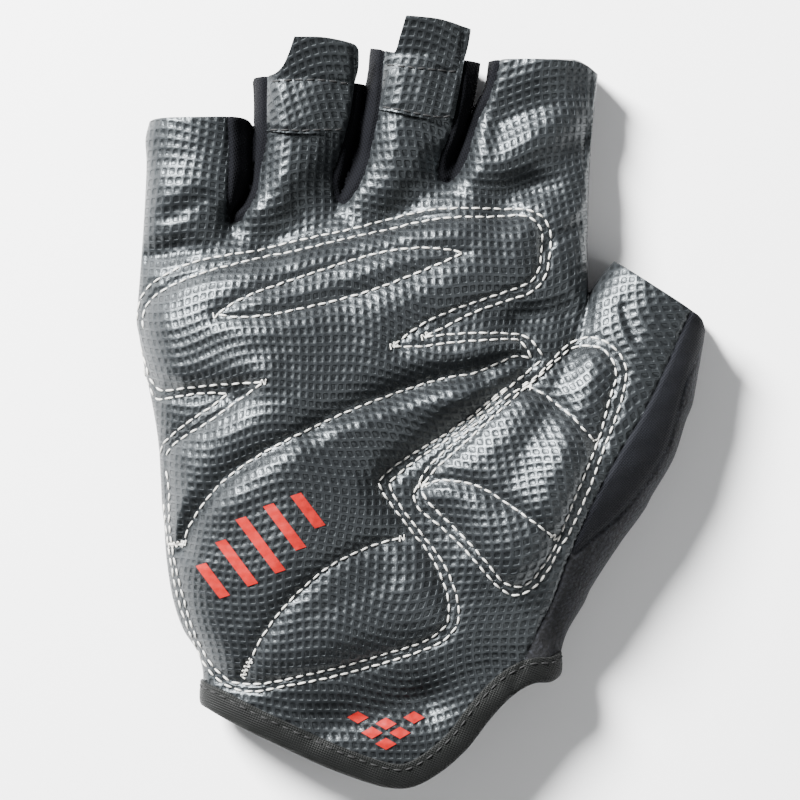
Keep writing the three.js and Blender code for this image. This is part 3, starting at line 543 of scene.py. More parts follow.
# The regions right of the thumb's seams
seams_part = np.hypot(*(thumb_seam - side_seam[-1]).T).argmin()
thumb_region = np.vstack([thumb_seam[::-1], at(THUMB_SURROUND)])
fuzzy_region = np.vstack([side_seam, thumb_seam[seams_part:], at(FUZZY_SURROUND)])
back_thumb_region = np.vstack([back_seam, at(BACK_THUMB_SURROUND)])


# Fields over the palm's plane
def boxed(low, high, spacing):
    """The coordinates of a regular lattice that covers a box."""
    xs = np.arange(low[0], high[0] + spacing, spacing)
    ys = np.arange(low[1], high[1] + spacing, spacing)
    return xs, ys


FIELD_X, FIELD_Y = boxed(*FIELD_BOX, FIELD)
field_x, field_y = np.meshgrid(FIELD_X, FIELD_Y)


def distance_field(lines, reach):
    """Distance to the nearest line at each point of the field, up to reach."""
    field = np.full((len(FIELD_Y), len(FIELD_X)), float(reach))
    for line in lines:
        thin = line[np.unique(np.append(np.arange(0, len(line), 3), len(line) - 1))]
        for a, b in zip(thin[:-1], thin[1:]):
            low, high = np.minimum(a, b) - reach, np.maximum(a, b) + reach
            i0, i1 = np.searchsorted(FIELD_X, [low[0], high[0]])
            j0, j1 = np.searchsorted(FIELD_Y, [low[1], high[1]])
            if i0 == i1 or j0 == j1:
                continue
            x, y = FIELD_X[None, i0:i1] - a[0], FIELD_Y[j0:j1, None] - a[1]
            dx, dy = b - a
            t = np.clip((x * dx + y * dy) / (dx * dx + dy * dy), 0, 1)
            window = field[j0:j1, i0:i1]
            np.minimum(window, np.hypot(x - t * dx, y - t * dy), out=window)
    return field


def sample(field, x, y):
    """The field between its points, by bilinear interpolation."""
    fx = np.clip((x - FIELD_X[0]) / FIELD, 0, len(FIELD_X) - 1.001)
    fy = np.clip((y - FIELD_Y[0]) / FIELD, 0, len(FIELD_Y) - 1.001)
    i, j = fx.astype(int), fy.astype(int)
    u, v = fx - i, fy - j
    low = field[j, i] * (1 - u) + field[j, i + 1] * u
    high = field[j + 1, i] * (1 - u) + field[j + 1, i + 1] * u
    return low * (1 - v) + high * v


def inside(region, x, y):
    """Whether each point lies inside a closed outline, by counting crossings along +X."""
    result = np.zeros(np.shape(x), bool)
    low, high = region.min(0), region.max(0)
    near = (x > low[0]) & (x < high[0]) & (y > low[1]) & (y < high[1])
    px, py = x[near], y[near]
    odd = np.zeros(len(px), bool)
    for a, b in zip(region, np.roll(region, -1, axis=0)):
        if a[1] == b[1]:
            continue
        rows = (a[1] > py) != (b[1] > py)
        odd[rows] ^= px[rows] < (b[0] - a[0]) * (py[rows] - a[1]) / (b[1] - a[1]) + a[0]
    result[near] = odd
    return result


def smoothstep(low, high, value):
    t = np.clip((value - low) / (high - low), 0, 1)
    return t * t * (3 - 2 * t)


def bell(distance, reach):
    """1 at no distance, falling off smoothly round the reach."""
    return np.exp(-(distance / reach) ** 2)


def wave(x, y, terms):
    """A sine over the plane, from its turn per millimetre across and along and its phase."""
    across, along, phase = terms
    return np.sin(x * across + y * along + phase)


# The tubes that make up the top and the underside
def turned(x, y, turn):
    """Places across and along a tube whose frame is turned in the palm's plane."""
    return x * math.cos(turn) - y * math.sin(turn), x * math.sin(turn) + y * math.cos(turn)


def edge_table(lines, turn=0.0):
    """Place across a tube's edge for each place along it, from lines that follow one another."""
    across, along = turned(*np.vstack(lines).T, turn)
    order = np.argsort(along)
    return along[order], across[order]


def tube_level(x, y, left, right, power, turn=0.0):
    """Level of a tube's section, 1 at the middle and 0 at its edges, and the place along the tube."""
    across, along = turned(x, y, turn)
    low, high = np.interp(along, *left), np.interp(along, *right)
    share = np.clip((across - (low + high) / 2) / ((high - low) / 2), -1, 1)
    return np.clip(1 - np.abs(share) ** power, 0, 1) ** (1 / power), along


def finger_edge(valley, wall):
    """A finger's edge from the crotch to past the opening."""
    return edge_table([curve(VALLEYS[valley]), walls[wall], beyond[wall]])


body_left = edge_table([walls["left"], beyond["left"], beyond["wrist_left"]])
right_edges = [curve(BODY_RIGHT), walls["index_right"], beyond["index_right"], beyond["wrist_right"]]
body_right = edge_table(right_edges)
little_ring = finger_edge("little_ring", "little_ring")
ring_middle = finger_edge("ring_middle", "ring_middle")
middle_right = finger_edge("middle_index", "middle_right")
index_left = finger_edge("middle_index", "index_left")
index_right = edge_table([walls["index_right"], beyond["index_right"]])
finger_edges = [
    (body_left, little_ring),
    (little_ring, ring_middle),
    (ring_middle, middle_right),
    (index_left, index_right),
]
lean = math.radians(THUMB_LEAN)
thumb_left = edge_table([beyond["thumb_left"], walls["thumb_left"], curve(THUMB_LEFT)], lean)
thumb_right = edge_table([beyond["thumb_right"], walls["thumb_right"], curve(THUMB_RIGHT)], lean)
_, rise_along = turned(*at([place for place, _ in THUMB_RISE]).T, lean)
rise_order = np.argsort(rise_along)
thumb_rise = (rise_along[rise_order], np.array([rise for _, rise in THUMB_RISE])[rise_order])
crotch_line = at(CROTCH_LINE)


def blended(a, b):
    """The higher of two surfaces, run into each other where they cross."""
    width = np.minimum(BLEND, np.maximum(a, b))
    near = np.maximum(width - np.abs(a - b), 0)
    return np.maximum(a, b) + near * near / (4 * np.maximum(width, 1e-6))


def levels(x, y):
    """Height of the top above the side seam before its folds, and the level of the underside."""
    past_crotch = y - np.interp(x, *crotch_line.T)
    fade = 1 - smoothstep(*BODY_END, past_crotch)
    root = smoothstep(*FINGER_ROOT, past_crotch)
    body, _ = tube_level(x, y, body_left, body_right, BODY_POWER)
    body_top = body * PALM_RISE * np.interp(y, *np.transpose(PALM_RISE_SHARES)) * fade
    fingers = np.zeros(np.shape(x))
    for left, right in finger_edges:
        fingers = np.maximum(fingers, tube_level(x, y, left, right, TUBE_POWER)[0])
    thumb, along = tube_level(x, y, thumb_left, thumb_right, TUBE_POWER, lean)
    top = blended(body_top, fingers * root * FINGER_RISE)
    top = blended(top, thumb * np.interp(along, *thumb_rise))
    under = np.maximum(np.maximum(body * fade, fingers * root), thumb)
    return top, under


wall_distance = distance_field([*walls.values(), *beyond.values()], WALL_FIELD)
wall_distance = np.where(levels(field_x, field_y)[1] > 0, wall_distance, -wall_distance)
wall_slope_y, wall_slope_x = np.gradient(wall_distance, FIELD)
mouth_distance = distance_field(mouths.values(), SEAM_FIELD)
row_distance = distance_field(stitch_rows, SEAM_FIELD)
channel_distance = distance_field([curve(strand) for strand in channels], CHANNEL_FIELD)
seam_distance = distance_field([thumb_seam, side_seam, *gusset_lines.values()], SEAM_FIELD)
gusset_inside = np.any([inside(line, field_x, field_y) for line in gusset_lines.values()], axis=0)
gusset_depth = np.where(gusset_inside, distance_field(gusset_lines.values(), GUSSET_FIELD), 0)
pad_puff = np.zeros(field_x.shape)
for region in pad_outlines.values():
    depth = np.where(inside(region, field_x, field_y), distance_field([region], PAD_FIELD), 0)
    depth = np.clip((depth - ROW_INSET) / PAD_SHOULDER, 0, 1)
    pad_puff += PAD_PUFF * np.sin(depth * math.pi / 2)


def fold(x, y, start, end, height, reach):
    """A ridge or a valley along the line between two places."""
    a, b = at([start, end])
    d = b - a
    t = np.clip(((x - a[0]) * d[0] + (y - a[1]) * d[1]) / (d @ d), 0, 1)
    return height * bell(np.hypot(x - a[0] - t * d[0], y - a[1] - t * d[1]), reach)


def relief(x, y):
    """Folds, pads and sewn grooves: what stands above or below the plain tubes."""
    height = np.zeros(np.shape(x))
    for _, *shape in FOLDS:
        height += fold(x, y, *shape)
    height += sample(pad_puff, x, y)
    height -= CHANNEL_DIP * bell(sample(channel_distance, x, y), CHANNEL_REACH)
    height -= ROW_DIP * bell(sample(row_distance, x, y), ROW_REACH)
    height -= SEAM_DIP * bell(sample(seam_distance, x, y), SEAM_REACH)
    roll = sample(gusset_depth, x, y)
    height += ROLL_RISE * smoothstep(*ROLL_UP, roll) * (1 - smoothstep(*ROLL_DOWN, roll))
    for rise, first, second in SURFACE_WAVES:
        height += rise * (wave(x, y, first) * wave(x, y, second))
    return height


def sheet_height(x, y):
    """Height of the leather and knit above the surface, without the embossing or the rolled mouths."""
    top, _ = levels(x, y)
    return SEAM_HEIGHT + top + relief(x, y) * np.clip(top / FULL_RELIEF, 0, 1)


def top_height(x, y):
    """Height of the leather and knit with the edges rolled down at the mouths."""
    lip = np.clip(1 - sample(mouth_distance, x, y) / LIP_REACH, 0, 1)
    rolled = LIP_DROP * (1 - np.sqrt(1 - lip ** 2))
    height = sheet_height(x, y)
    return height - rolled * np.clip((height - SEAM_HEIGHT) / FULL_RELIEF, 0, 1)


def under_height(x, y):
    """Height of the underside, pressed flat where it rests."""
    _, level = levels(x, y)
    drop = SEAM_HEIGHT * (1 - UNDERSIDE_DROP * level)
    turn = np.maximum(UNDERSIDE_TURN - np.abs(drop), 0)
    return np.maximum(drop, 0) + turn ** 2 / (4 * UNDERSIDE_TURN)


def surface_normal(height, x, y, step=NORMAL_STEP):
    slope_x = (height(x + step, y) - height(x - step, y)) / (2 * step)
    slope_y = (height(x, y + step) - height(x, y - step)) / (2 * step)
    length = np.sqrt(slope_x ** 2 + slope_y ** 2 + 1)
    return np.stack([-slope_x / length, -slope_y / length, 1 / length], -1)


# The embossed net: two fields that give each place's row and column
def nearest_map(slope_x, slope_y):
    """The map over the field whose slopes come nearest to the given ones, by cosine transform."""
    step_x = (slope_x[:, 1:] + slope_x[:, :-1]) / 2 * FIELD
    step_y = (slope_y[1:] + slope_y[:-1]) / 2 * FIELD
    flow = np.zeros(slope_x.shape)
    flow[:, :-1] += step_x
    flow[:, 1:] -= step_x
    flow[:-1] += step_y
    flow[1:] -= step_y
    rows, cols = flow.shape
    mirrored = np.block([[flow, flow[:, ::-1]], [flow[::-1], flow[::-1, ::-1]]])
    waves_y = 2 * np.cos(2 * math.pi * np.fft.fftfreq(2 * rows)) - 2
    waves_x = 2 * np.cos(2 * math.pi * np.fft.rfftfreq(2 * cols)) - 2
    waves = waves_y[:, None] + waves_x[None, :]
    waves[0, 0] = 1
    spectrum = np.fft.rfft2(mirrored) / waves
    spectrum[0, 0] = 0
    return np.fft.irfft2(spectrum, mirrored.shape)[:rows, :cols]


steep_y, steep_x = np.gradient(top_height(field_x, field_y), FIELD)
stretch_x = np.minimum(np.sqrt(1 + steep_x ** 2), NET_STRETCH)
stretch_y = np.minimum(np.sqrt(1 + steep_y ** 2), NET_STRETCH)
net_turn = np.zeros(field_x.shape)
for _, place, degrees, reach in NET_TURNS:
    px, py = at([place])[0]
    net_turn += math.radians(degrees) * np.exp(-((field_x - px) ** 2 + (field_y - py) ** 2) / reach ** 2)
net_u = nearest_map(np.cos(net_turn) * stretch_x, np.sin(net_turn) * stretch_y) / NET_ACROSS
net_v = nearest_map(-np.sin(net_turn) * stretch_x, np.cos(net_turn) * stretch_y) / NET_ALONG
net_u += sum(size * wave(field_x, field_y, terms) for size, terms in NET_WAVES_ACROSS) / NET_ACROSS
net_v += sum(size * wave(field_x, field_y, terms) for size, terms in NET_WAVES_ALONG) / NET_ALONG


def net_place(x, y):
    """Place in the net, in pitches."""
    return sample(net_u, x, y), sample(net_v, x, y)


def pit(u, v):
    """Depth share of the pits: 1 on a pit's floor and 0 on the net."""
    fu, fv = np.abs(u - np.floor(u) - 0.5), np.abs(v - np.floor(v) - 0.5)
    reach = (fu ** PIT_POWER + fv ** PIT_POWER) ** (1 / PIT_POWER)
    return 1 - smoothstep(PIT_FLOOR, PIT_RIM, reach)


# Materials
def rgba(color):
    """A colour with full alpha; a socket is handed on as it is."""
    return color if isinstance(color, bpy.types.NodeSocket) else (*color, 1)


class Shading:
    """A material's nodes, made one call at a time."""

    def __init__(self, name, color, roughness):
        self.material = bpy.data.materials.new(name)
        self.material.use_nodes = True
        self.tree = self.material.node_tree
        self.shader = self.tree.nodes["Principled BSDF"]
        self.fix({"Base Color": rgba(color), "Roughness": roughness})

    def fix(self, values):
        """Sets the shader's own sockets."""
        for name, value in values.items():
            self.shader.inputs[name].default_value = value

    def join(self, socket, value):
        self.tree.links.new(value, self.shader.inputs[socket])

    def node(self, kind, inputs, **settings):
        """A node whose inputs, by number or name, are set to values or linked to sockets."""
        made = self.tree.nodes.new(kind)
        for name, value in settings.items():
            setattr(made, name, value)
        for key, value in inputs.items():
            if isinstance(value, bpy.types.NodeSocket):
                self.tree.links.new(value, made.inputs[key])
            else:
                made.inputs[key].default_value = value
        return made

    def place(self):
        return self.node("ShaderNodeTexCoord", {}).outputs["Object"]

    def parts(self, vector):
        return self.node("ShaderNodeSeparateXYZ", {0: vector}).outputs

    def math(self, operation, a, b=0.0):
        return self.node("ShaderNodeMath", {0: a, 1: b}, operation=operation).outputs[0]

    def weigh(self, *terms):
        """The sum of sockets, each times its weight."""
        total = 0.0
        for socket, weight in terms:
            total = self.math("ADD", total, self.math("MULTIPLY", socket, weight))
        return total

    def ramp(self, value, *stops):
        """A colour between two stops, each a position and a colour."""
        made = self.node("ShaderNodeValToRGB", {0: value})
        for element, (position, color) in zip(made.color_ramp.elements, stops):
            element.position = position
            element.color = rgba(color)
        return made.outputs[0]

    def noise(self, scale, detail=3.0, rough=0.5):
        inputs = {"Vector": self.place(), "Scale": scale, "Detail": detail, "Roughness": rough}
        return self.node("ShaderNodeTexNoise", inputs).outputs["Fac"]

    def cells(self, scale):
        return self.node("ShaderNodeTexVoronoi", {"Vector": self.place(), "Scale": scale}).outputs["Distance"]

    def range(self, value, low, high, to_low=0.0, to_high=1.0):
        made = self.node("ShaderNodeMapRange", {0: value, 1: low, 2: high, 3: to_low, 4: to_high},
                         clamp=True, interpolation_type="SMOOTHSTEP")
        return made.outputs[0]

    def mix(self, share, a, b):
        return self.node("ShaderNodeMix", {0: share, 6: rgba(a), 7: rgba(b)}, data_type="RGBA").outputs[2]

    def bump(self, height, distance, strength, **under):
        inputs = {"Height": height, "Distance": distance, "Strength": strength, **under}
        return self.node("ShaderNodeBump", inputs).outputs[0]

    def coat(self, level, stops, height, depth, strength):
        """Colour from a ramp over a level, and a bump from a height."""
        self.join("Base Color", self.ramp(level, *stops))
        self.join("Normal", self.bump(height, depth, strength))


def scaled(color, factor):
    return tuple(channel * factor for channel in color)


def embossed(name, dark, light, roughness):
    """Embossed leather: a light net round square pits whose floors are painted darker and whose walls are
    painted near black as painted shade in the recesses, with fine grain and soft wear.
    """
    shade = Shading(name, light, roughness)
    net = shade.node("ShaderNodeAttribute", {}, attribute_name="net").outputs["Vector"]
    across, along, pit_share = shade.parts(net)
    powers = []
    for axis in (across, along):
        off_middle = shade.math("ABSOLUTE", shade.math("SUBTRACT", shade.math("FRACT", axis), 0.5))
        powers.append(shade.math("POWER", off_middle, PIT_POWER))
    reach = shade.math("POWER", shade.math("ADD", *powers), 1 / PIT_POWER)
    pits = shade.math("MULTIPLY", shade.range(reach, PIT_RIM, PIT_FLOOR + 0.03), pit_share)
    wall = shade.math("MULTIPLY", shade.range(reach, 0.37, 0.33), shade.range(reach, 0.25, 0.30))
    wall = shade.math("MULTIPLY", wall, pit_share)
    grain = shade.noise(1900.0, 3.0, 0.6)
    tone = shade.range(shade.noise(26.0), 0.3, 0.7)
    # Painted shade: the pit floors are coloured darker than the net
    pit_shade_color = shade.mix(tone, dark, scaled(dark, 1.25))
    net_color = shade.mix(tone, scaled(light, 0.85), scaled(light, 1.15))
    color = shade.mix(pits, net_color, pit_shade_color)
    # Painted shade: the pit walls are coloured near black
    shade.join("Base Color", shade.mix(shade.math("MULTIPLY", wall, 0.85), color, scaled(dark, 0.2)))
    worn = shade.range(grain, 0.3, 0.7, roughness - 0.05, roughness + 0.1)
    shade.join("Roughness", shade.weigh((worn, 1.0), (wall, 0.30)))
    fine = shade.bump(shade.weigh((grain, 0.6), (shade.cells(2300.0), 0.5)), 0.00006, 0.7)
    shade.join("Normal", shade.bump(shade.math("SUBTRACT", 1.0, pits), 0.00014, 1.0, Normal=fine))
    shade.fix({"Specular IOR Level": 0.52, "Specular Tint": (0.86, 0.95, 1.0, 1)})
    return shade.material


def knitted(name, dark, light, rib, slant, roughness, sheen):
    """Fine knit or twill: slanted ribs crossed by small stitches. rib is their pitch in metres."""
    shade = Shading(name, light, roughness)
    x, y, _ = shade.parts(shade.place())
    across = shade.weigh((x, math.cos(slant)), (y, math.sin(slant)))
    along = shade.weigh((y, math.cos(slant)), (x, -math.sin(slant)))
    ribs = shade.math("SINE", shade.math("MULTIPLY", across, 2 * math.pi / rib))
    small = shade.math("SINE", shade.weigh((along, 2 * math.pi / (rib * 1.15)), (ribs, 1.4)))
    height = shade.weigh((ribs, 0.5), (small, 0.32))
    level = shade.weigh((shade.range(height, -0.9, 0.9, 0.0, 0.65), 1.0), (shade.noise(45.0), 0.4))
    fibre = shade.noise(3200.0, 4.0, 0.65)
    shade.coat(level, ((0.15, dark), (0.95, light)), shade.weigh((height, 1.0), (fibre, 0.8)), 0.00009, 0.9)
    shade.fix({"Sheen Weight": sheen, "Sheen Roughness": 0.5, "Specular IOR Level": 0.1})
    return shade.material


def fuzzy(name, dark, light):
    """Brushed terry: short tangled fibres with a heather of two tones."""
    shade = Shading(name, light, 0.95)
    loops = shade.cells(1100.0)
    fibre = shade.noise(1500.0, 5.0, 0.72)
    level = shade.weigh((fibre, 0.75), (shade.noise(60.0, 4.0, 0.6), 0.35), (loops, -0.15))
    height = shade.weigh((fibre, 1.0), (loops, -0.7))
    shade.coat(level, ((0.40, dark), (0.60, light)), height, 0.00016, 1.0)
    shade.fix({"Sheen Weight": 0.12, "Sheen Roughness": 0.6, "Specular IOR Level": 0.1})
    return shade.material


def thread(name, dark, light, roughness):
    """Twisted thread with a little soil."""
    shade = Shading(name, light, roughness)
    twist = shade.noise(2400.0, 3.0, 0.6)
    level = shade.weigh((twist, 0.6), (shade.noise(160.0), 0.5))
    shade.coat(level, ((0.3, dark), (0.62, light)), twist, 0.00008, 0.8)
    return shade.material


def rubber(name, dark, light):
    """Printed rubber with fine specks."""
    shade = Shading(name, light, 0.5)
    speck = shade.noise(900.0, 4.0, 0.65)
    level = shade.weigh((speck, 0.6), (shade.noise(120.0, 2.0), 0.4))
    shade.coat(level, ((0.3, dark), (0.7, light)), speck, 0.00007, 0.6)
    shade.fix({"Specular IOR Level": 0.2})
    return shade.material


FINISHES = {
    # In each embossed leather the first colour is the pits' painted shade and the second the net's colour
    "palm_leather": embossed("palm leather", (0.0028, 0.0031, 0.0035), (0.0080, 0.0089, 0.0098), 0.36),
    "pad_leather": embossed("pad leather", (0.0030, 0.0033, 0.0037), (0.0086, 0.0095, 0.0105), 0.35),
    # Painted shade: the tab leather is the same leather coloured darker, for tabs that slope away from the
    # key light
    "tab_leather": embossed("tab leather with painted shade", (0.0024, 0.0027, 0.0030), (0.0070, 0.0077, 0.0085), 0.40),
    "gusset_knit": knitted("gusset knit", (0.0004, 0.0005, 0.0009), (0.0026, 0.0028, 0.0044),
                           rib=0.00055, slant=0.5, roughness=0.9, sheen=0.0),
    "back_fabric": knitted("back knit", (0.0020, 0.0022, 0.0028), (0.0070, 0.0075, 0.0090),
                           rib=0.0008, slant=0.0, roughness=0.85, sheen=0.08),
    "side_panel": knitted("side panel twill", (0.0036, 0.0040, 0.0055), (0.0105, 0.0113, 0.0148),
                          rib=0.00045, slant=0.85, roughness=0.75, sheen=0.03),
    "binding_tape": knitted("binding tape", (0.0038, 0.0042, 0.0040), (0.0068, 0.0073, 0.0069),
                            rib=0.0005, slant=1.2, roughness=0.5, sheen=0.03),
    "thumb_terry": fuzzy("brushed terry", (0.0016, 0.0018, 0.0026), (0.0190, 0.0200, 0.0255)),
    "stitching": thread("pale thread", (0.26, 0.256, 0.236), (0.60, 0.59, 0.555), 0.55),
    "print": rubber("red print", (0.20, 0.0048, 0.0035), (0.30, 0.0085, 0.0065)),
}
DARK_THREAD = thread("dark thread", (0.0010, 0.0010, 0.0011), (0.0035, 0.0035, 0.0038), 0.8)


# Meshes
def sharp_mesh(name, places, faces, sharp_edges=()):
    """A mesh object from places in millimetres, smooth but for the edges that are named sharp."""
    mesh = bpy.data.meshes.new(name)
    mesh.from_pydata((np.asarray(places) * MM).tolist(), [], [list(map(int, face)) for face in faces])
    mesh.validate()
    mesh.update()
    mesh.polygons.foreach_set("use_smooth", np.ones(len(mesh.polygons), bool))
    if len(sharp_edges):
        wanted = {(min(a, b), max(a, b)) for a, b in sharp_edges}
        pairs = np.empty(len(mesh.edges) * 2, np.int32)
        mesh.edges.foreach_get("vertices", pairs)
        pairs = np.sort(pairs.reshape(-1, 2), axis=1)
        flags = np.fromiter(((a, b) in wanted for a, b in pairs.tolist()), bool, len(pairs))
        mesh.attributes.new("sharp_edge", "BOOLEAN", "EDGE").data.foreach_set("value", flags)
    piece = bpy.data.objects.new(name, mesh)
    bpy.context.scene.collection.objects.link(piece)
    return piece


def dress(piece, slot, *nodes, finish=None):
    """Puts a piece on the body with the finish of its slot, and hides the nodes that it stands for."""
    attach(piece, "root")
    if nodes:
        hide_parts(*nodes)
    piece.data.materials.append(finish or FINISHES[slot])
    return piece


def cell_middles(grid):
    """One coordinate of the cells' middles, from that of the lattice's points."""
    return (grid[:-1, :-1] + grid[1:, :-1] + grid[:-1, 1:] + grid[1:, 1:]) / 4


def cells_round(cells):
    """The four cells that meet at each point of the lattice, as four arrays."""
    padded = np.pad(cells, 1)
    return np.stack([padded[:-1, :-1], padded[1:, :-1], padded[:-1, 1:], padded[1:, 1:]])


def crowded_lattice(low, high, spacing):
    """A lattice whose points crowd towards the silhouette, and the middles of its cells."""
    x, y = np.meshgrid(*boxed(low, high, spacing))
    d = sample(wall_distance, x, y)
    gx, gy = sample(wall_slope_x, x, y), sample(wall_slope_y, x, y)
    length = np.maximum(np.hypot(gx, gy), 1e-6)
    near = np.clip(1 - np.abs(d) / CROWD_REACH, 0, 1)
    shift = CROWD_SHIFT * (1 - np.exp(-np.abs(d) / CROWD_SCALE)) * near
    # Outside the silhouette the points come in, and only from close by
    shift = np.where(d < 0, -shift * np.clip(1 + d / 2, 0, 1), shift) * np.clip(length, 0, 1)
    x, y = x - gx / length * shift, y - gy / length * shift
    return x, y, cell_middles(x), cell_middles(y)


def snap(x, y, cells, lines, reach):
    """Moves the points where unlike cells meet to the nearest line, if it is within reach."""
    points = np.vstack([smooth(line, SNAP_STEP) for line in lines])
    tree = kdtree.KDTree(len(points))
    for number, (px, py) in enumerate(points):
        tree.insert((px, py, 0), number)
    tree.balance()
    around = cells_round(cells)
    for j, i in zip(*np.nonzero(np.any(around != around[0], axis=0))):
        place, _, away = tree.find((x[j, i], y[j, i], 0))
        if away < reach:
            x[j, i], y[j, i] = place[0], place[1]


def block_faces(mask, block):
    """Faces of the inner side: whole blocks of cells where they fit, and single cells elsewhere."""
    rows, cols = mask.shape
    fine = mask.copy()
    corners = []
    for j in range(0, rows - block + 1, block):
        for i in range(0, cols - block + 1, block):
            if mask[j:j + block, i:i + block].all():
                fine[j:j + block, i:i + block] = False
                corners.append((j, i))
    needed = cells_round(fine).any(axis=0) | ~cells_round(mask).all(axis=0)
    steps = range(block)
    faces = []
    for j, i in corners:
        sides = [[(j, i + k) for k in steps], [(j + k, i + block) for k in steps],
                 [(j + block, i + block - k) for k in steps], [(j + block - k, i) for k in steps]]
        faces.append([p for side in sides for k, p in enumerate(side) if k == 0 or needed[p]])
    for j, i in zip(*np.nonzero(fine)):
        faces.append([(j, i), (j, i + 1), (j + 1, i + 1), (j + 1, i)])
    return faces


def sheet_piece(name, mask, outer, inner, net=None, upwards=True, block=4):
    """A closed sheet over the masked cells of a lattice, with its outer side, inner side and rim."""
    rows, cols = mask.shape
    used = cells_round(mask).any(axis=0)
    number = np.full(used.shape, -1)
    number[used] = np.arange(used.sum())
    j, i = np.nonzero(mask)
    faces = np.stack([number[j, i], number[j, i + 1], number[j + 1, i + 1], number[j + 1, i]], 1).tolist()
    blocks = block_faces(mask, block)
    used_inner = np.zeros(used.shape, bool)
    used_inner[tuple(np.transpose([p for face in blocks for p in face]))] = True
    inner_number = np.full(used.shape, -1)
    inner_number[used_inner] = used.sum() + np.arange(used_inner.sum())
    faces += [[inner_number[p] for p in reversed(face)] for face in blocks]
    # The rim: for each side of a cell, its two corners and the cell beyond it
    padded = np.pad(mask, 1)
    sharp = []
    for (aj, ai), (bj, bi), (nj, ni) in [((0, 0), (0, 1), (-1, 0)), ((0, 1), (1, 1), (0, 1)),
                                         ((1, 1), (1, 0), (1, 0)), ((1, 0), (0, 0), (0, -1))]:
        ej, ei = np.nonzero(mask & ~padded[1 + nj:1 + nj + rows, 1 + ni:1 + ni + cols])
        a, b = number[ej + aj, ei + ai], number[ej + bj, ei + bi]
        c, d = inner_number[ej + aj, ei + ai], inner_number[ej + bj, ei + bi]
        faces += np.stack([b, a, c, d], 1).tolist()
        sharp += [*zip(a.tolist(), b.tolist()), *zip(c.tolist(), d.tolist())]
    if not upwards:
        faces = [face[::-1] for face in faces]
    piece = sharp_mesh(name, np.vstack([outer[used], inner[used_inner]]), faces, sharp)
    if net is not None:
        # The inner side has no pits
        values = np.vstack([net[used], net[used_inner] * (1, 1, 0)])
        attribute = piece.data.attributes.new("net", "FLOAT_VECTOR", "POINT")
        attribute.data.foreach_set("vector", values.astype(np.float32).ravel())
    return piece


# The top: a fine lattice whose cells go to the palm, the panels, the pads or the gussets
regions = {"palm_panel": silhouette, "thumb_side_panel": thumb_region, "thumb_back_panel": fuzzy_region,
           **pad_outlines, **gusset_lines}
region_numbers = {node: number for number, node in enumerate(regions, 1)}
top_x, top_y, middle_x, middle_y = crowded_lattice(*TOP_BOX, GRID)
in_top = inside(silhouette, middle_x, middle_y)
top_cells = np.zeros(in_top.shape, int)
for node, region in regions.items():
    top_cells[in_top & inside(region, middle_x, middle_y)] = region_numbers[node]
snap(top_x, top_y, top_cells, [*walls.values(), *mouths.values(), thumb_seam, side_seam,
                               *pad_outlines.values(), *gusset_lines.values()], TOP_SNAP)

top_z = top_height(top_x, top_y)
top_plain = np.stack([top_x, top_y, top_z], -1)
top_inner = top_plain - surface_normal(sheet_height, top_x, top_y) * WALL
top_inner[..., 2] = np.maximum(top_inner[..., 2], SEAM_HEIGHT)
top_u, top_v = net_place(top_x, top_y)
pit_shares = 1 - PRESSED * bell(sample(row_distance, top_x, top_y), PRESSED_REACH)
pits = pit(top_u, top_v) * pit_shares
pits[sample(wall_distance, top_x, top_y) <= PIT_CLEAR] = 0
top_pitted = np.stack([top_x, top_y, top_z - PIT_DEPTH * pits], -1)
top_net = np.stack([top_u, top_v, pit_shares], -1)
for node, (name, slot) in TOP_PIECES.items():
    places = top_pitted if slot in ("pad_leather", "palm_leather") else top_plain
    piece = sheet_piece(name, top_cells == region_numbers[node], places, top_inner, top_net)
    if slot == "thumb_terry":
        # The fuzzy back below stands for the node of both
        dress(piece, slot)
    else:
        dress(piece, slot, node)

# The underside: the back of the glove and the back of the thumb, pressed flat where they rest.
# Its wrist edge is straight between the ends of the hem.
back_x, back_y, middle_x, middle_y = crowded_lattice(*BACK_BOX, BACK_GRID)
back_hem = np.array([mouths["wrist"][-1], mouths["wrist"][0]])
back_outline = {**outline, "wrist": smooth(back_hem[::-1], SEAM_STEP)}
in_back = inside(np.vstack([line[:-1] for line in back_outline.values()]), middle_x, middle_y)
in_thumb_back = in_back & inside(back_thumb_region, middle_x, middle_y)
finger_mouths = [line for name, line in mouths.items() if name != "wrist"]
back_lines = [*walls.values(), *finger_mouths, smooth(back_hem, ROW_STEP), back_seam]
snap(back_x, back_y, in_back.astype(int) + in_thumb_back, back_lines, BACK_SNAP)
back_z = under_height(back_x, back_y)
back_outer = np.stack([back_x, back_y, back_z], -1)
back_inner = back_outer + surface_normal(under_height, back_x, back_y, BACK_NORMAL_STEP) * WALL
back_inner[..., 2] = np.clip(back_inner[..., 2], back_z, SEAM_HEIGHT)
for name, cells, slot, node in [("back_fabric", in_back & ~in_thumb_back, "back_fabric", "back_panel"),
                                ("thumb_fuzzy_back", in_thumb_back, "thumb_terry", "thumb_back_panel")]:
    dress(sheet_piece(name, cells, back_outer, back_inner, upwards=False, block=2), slot, node)


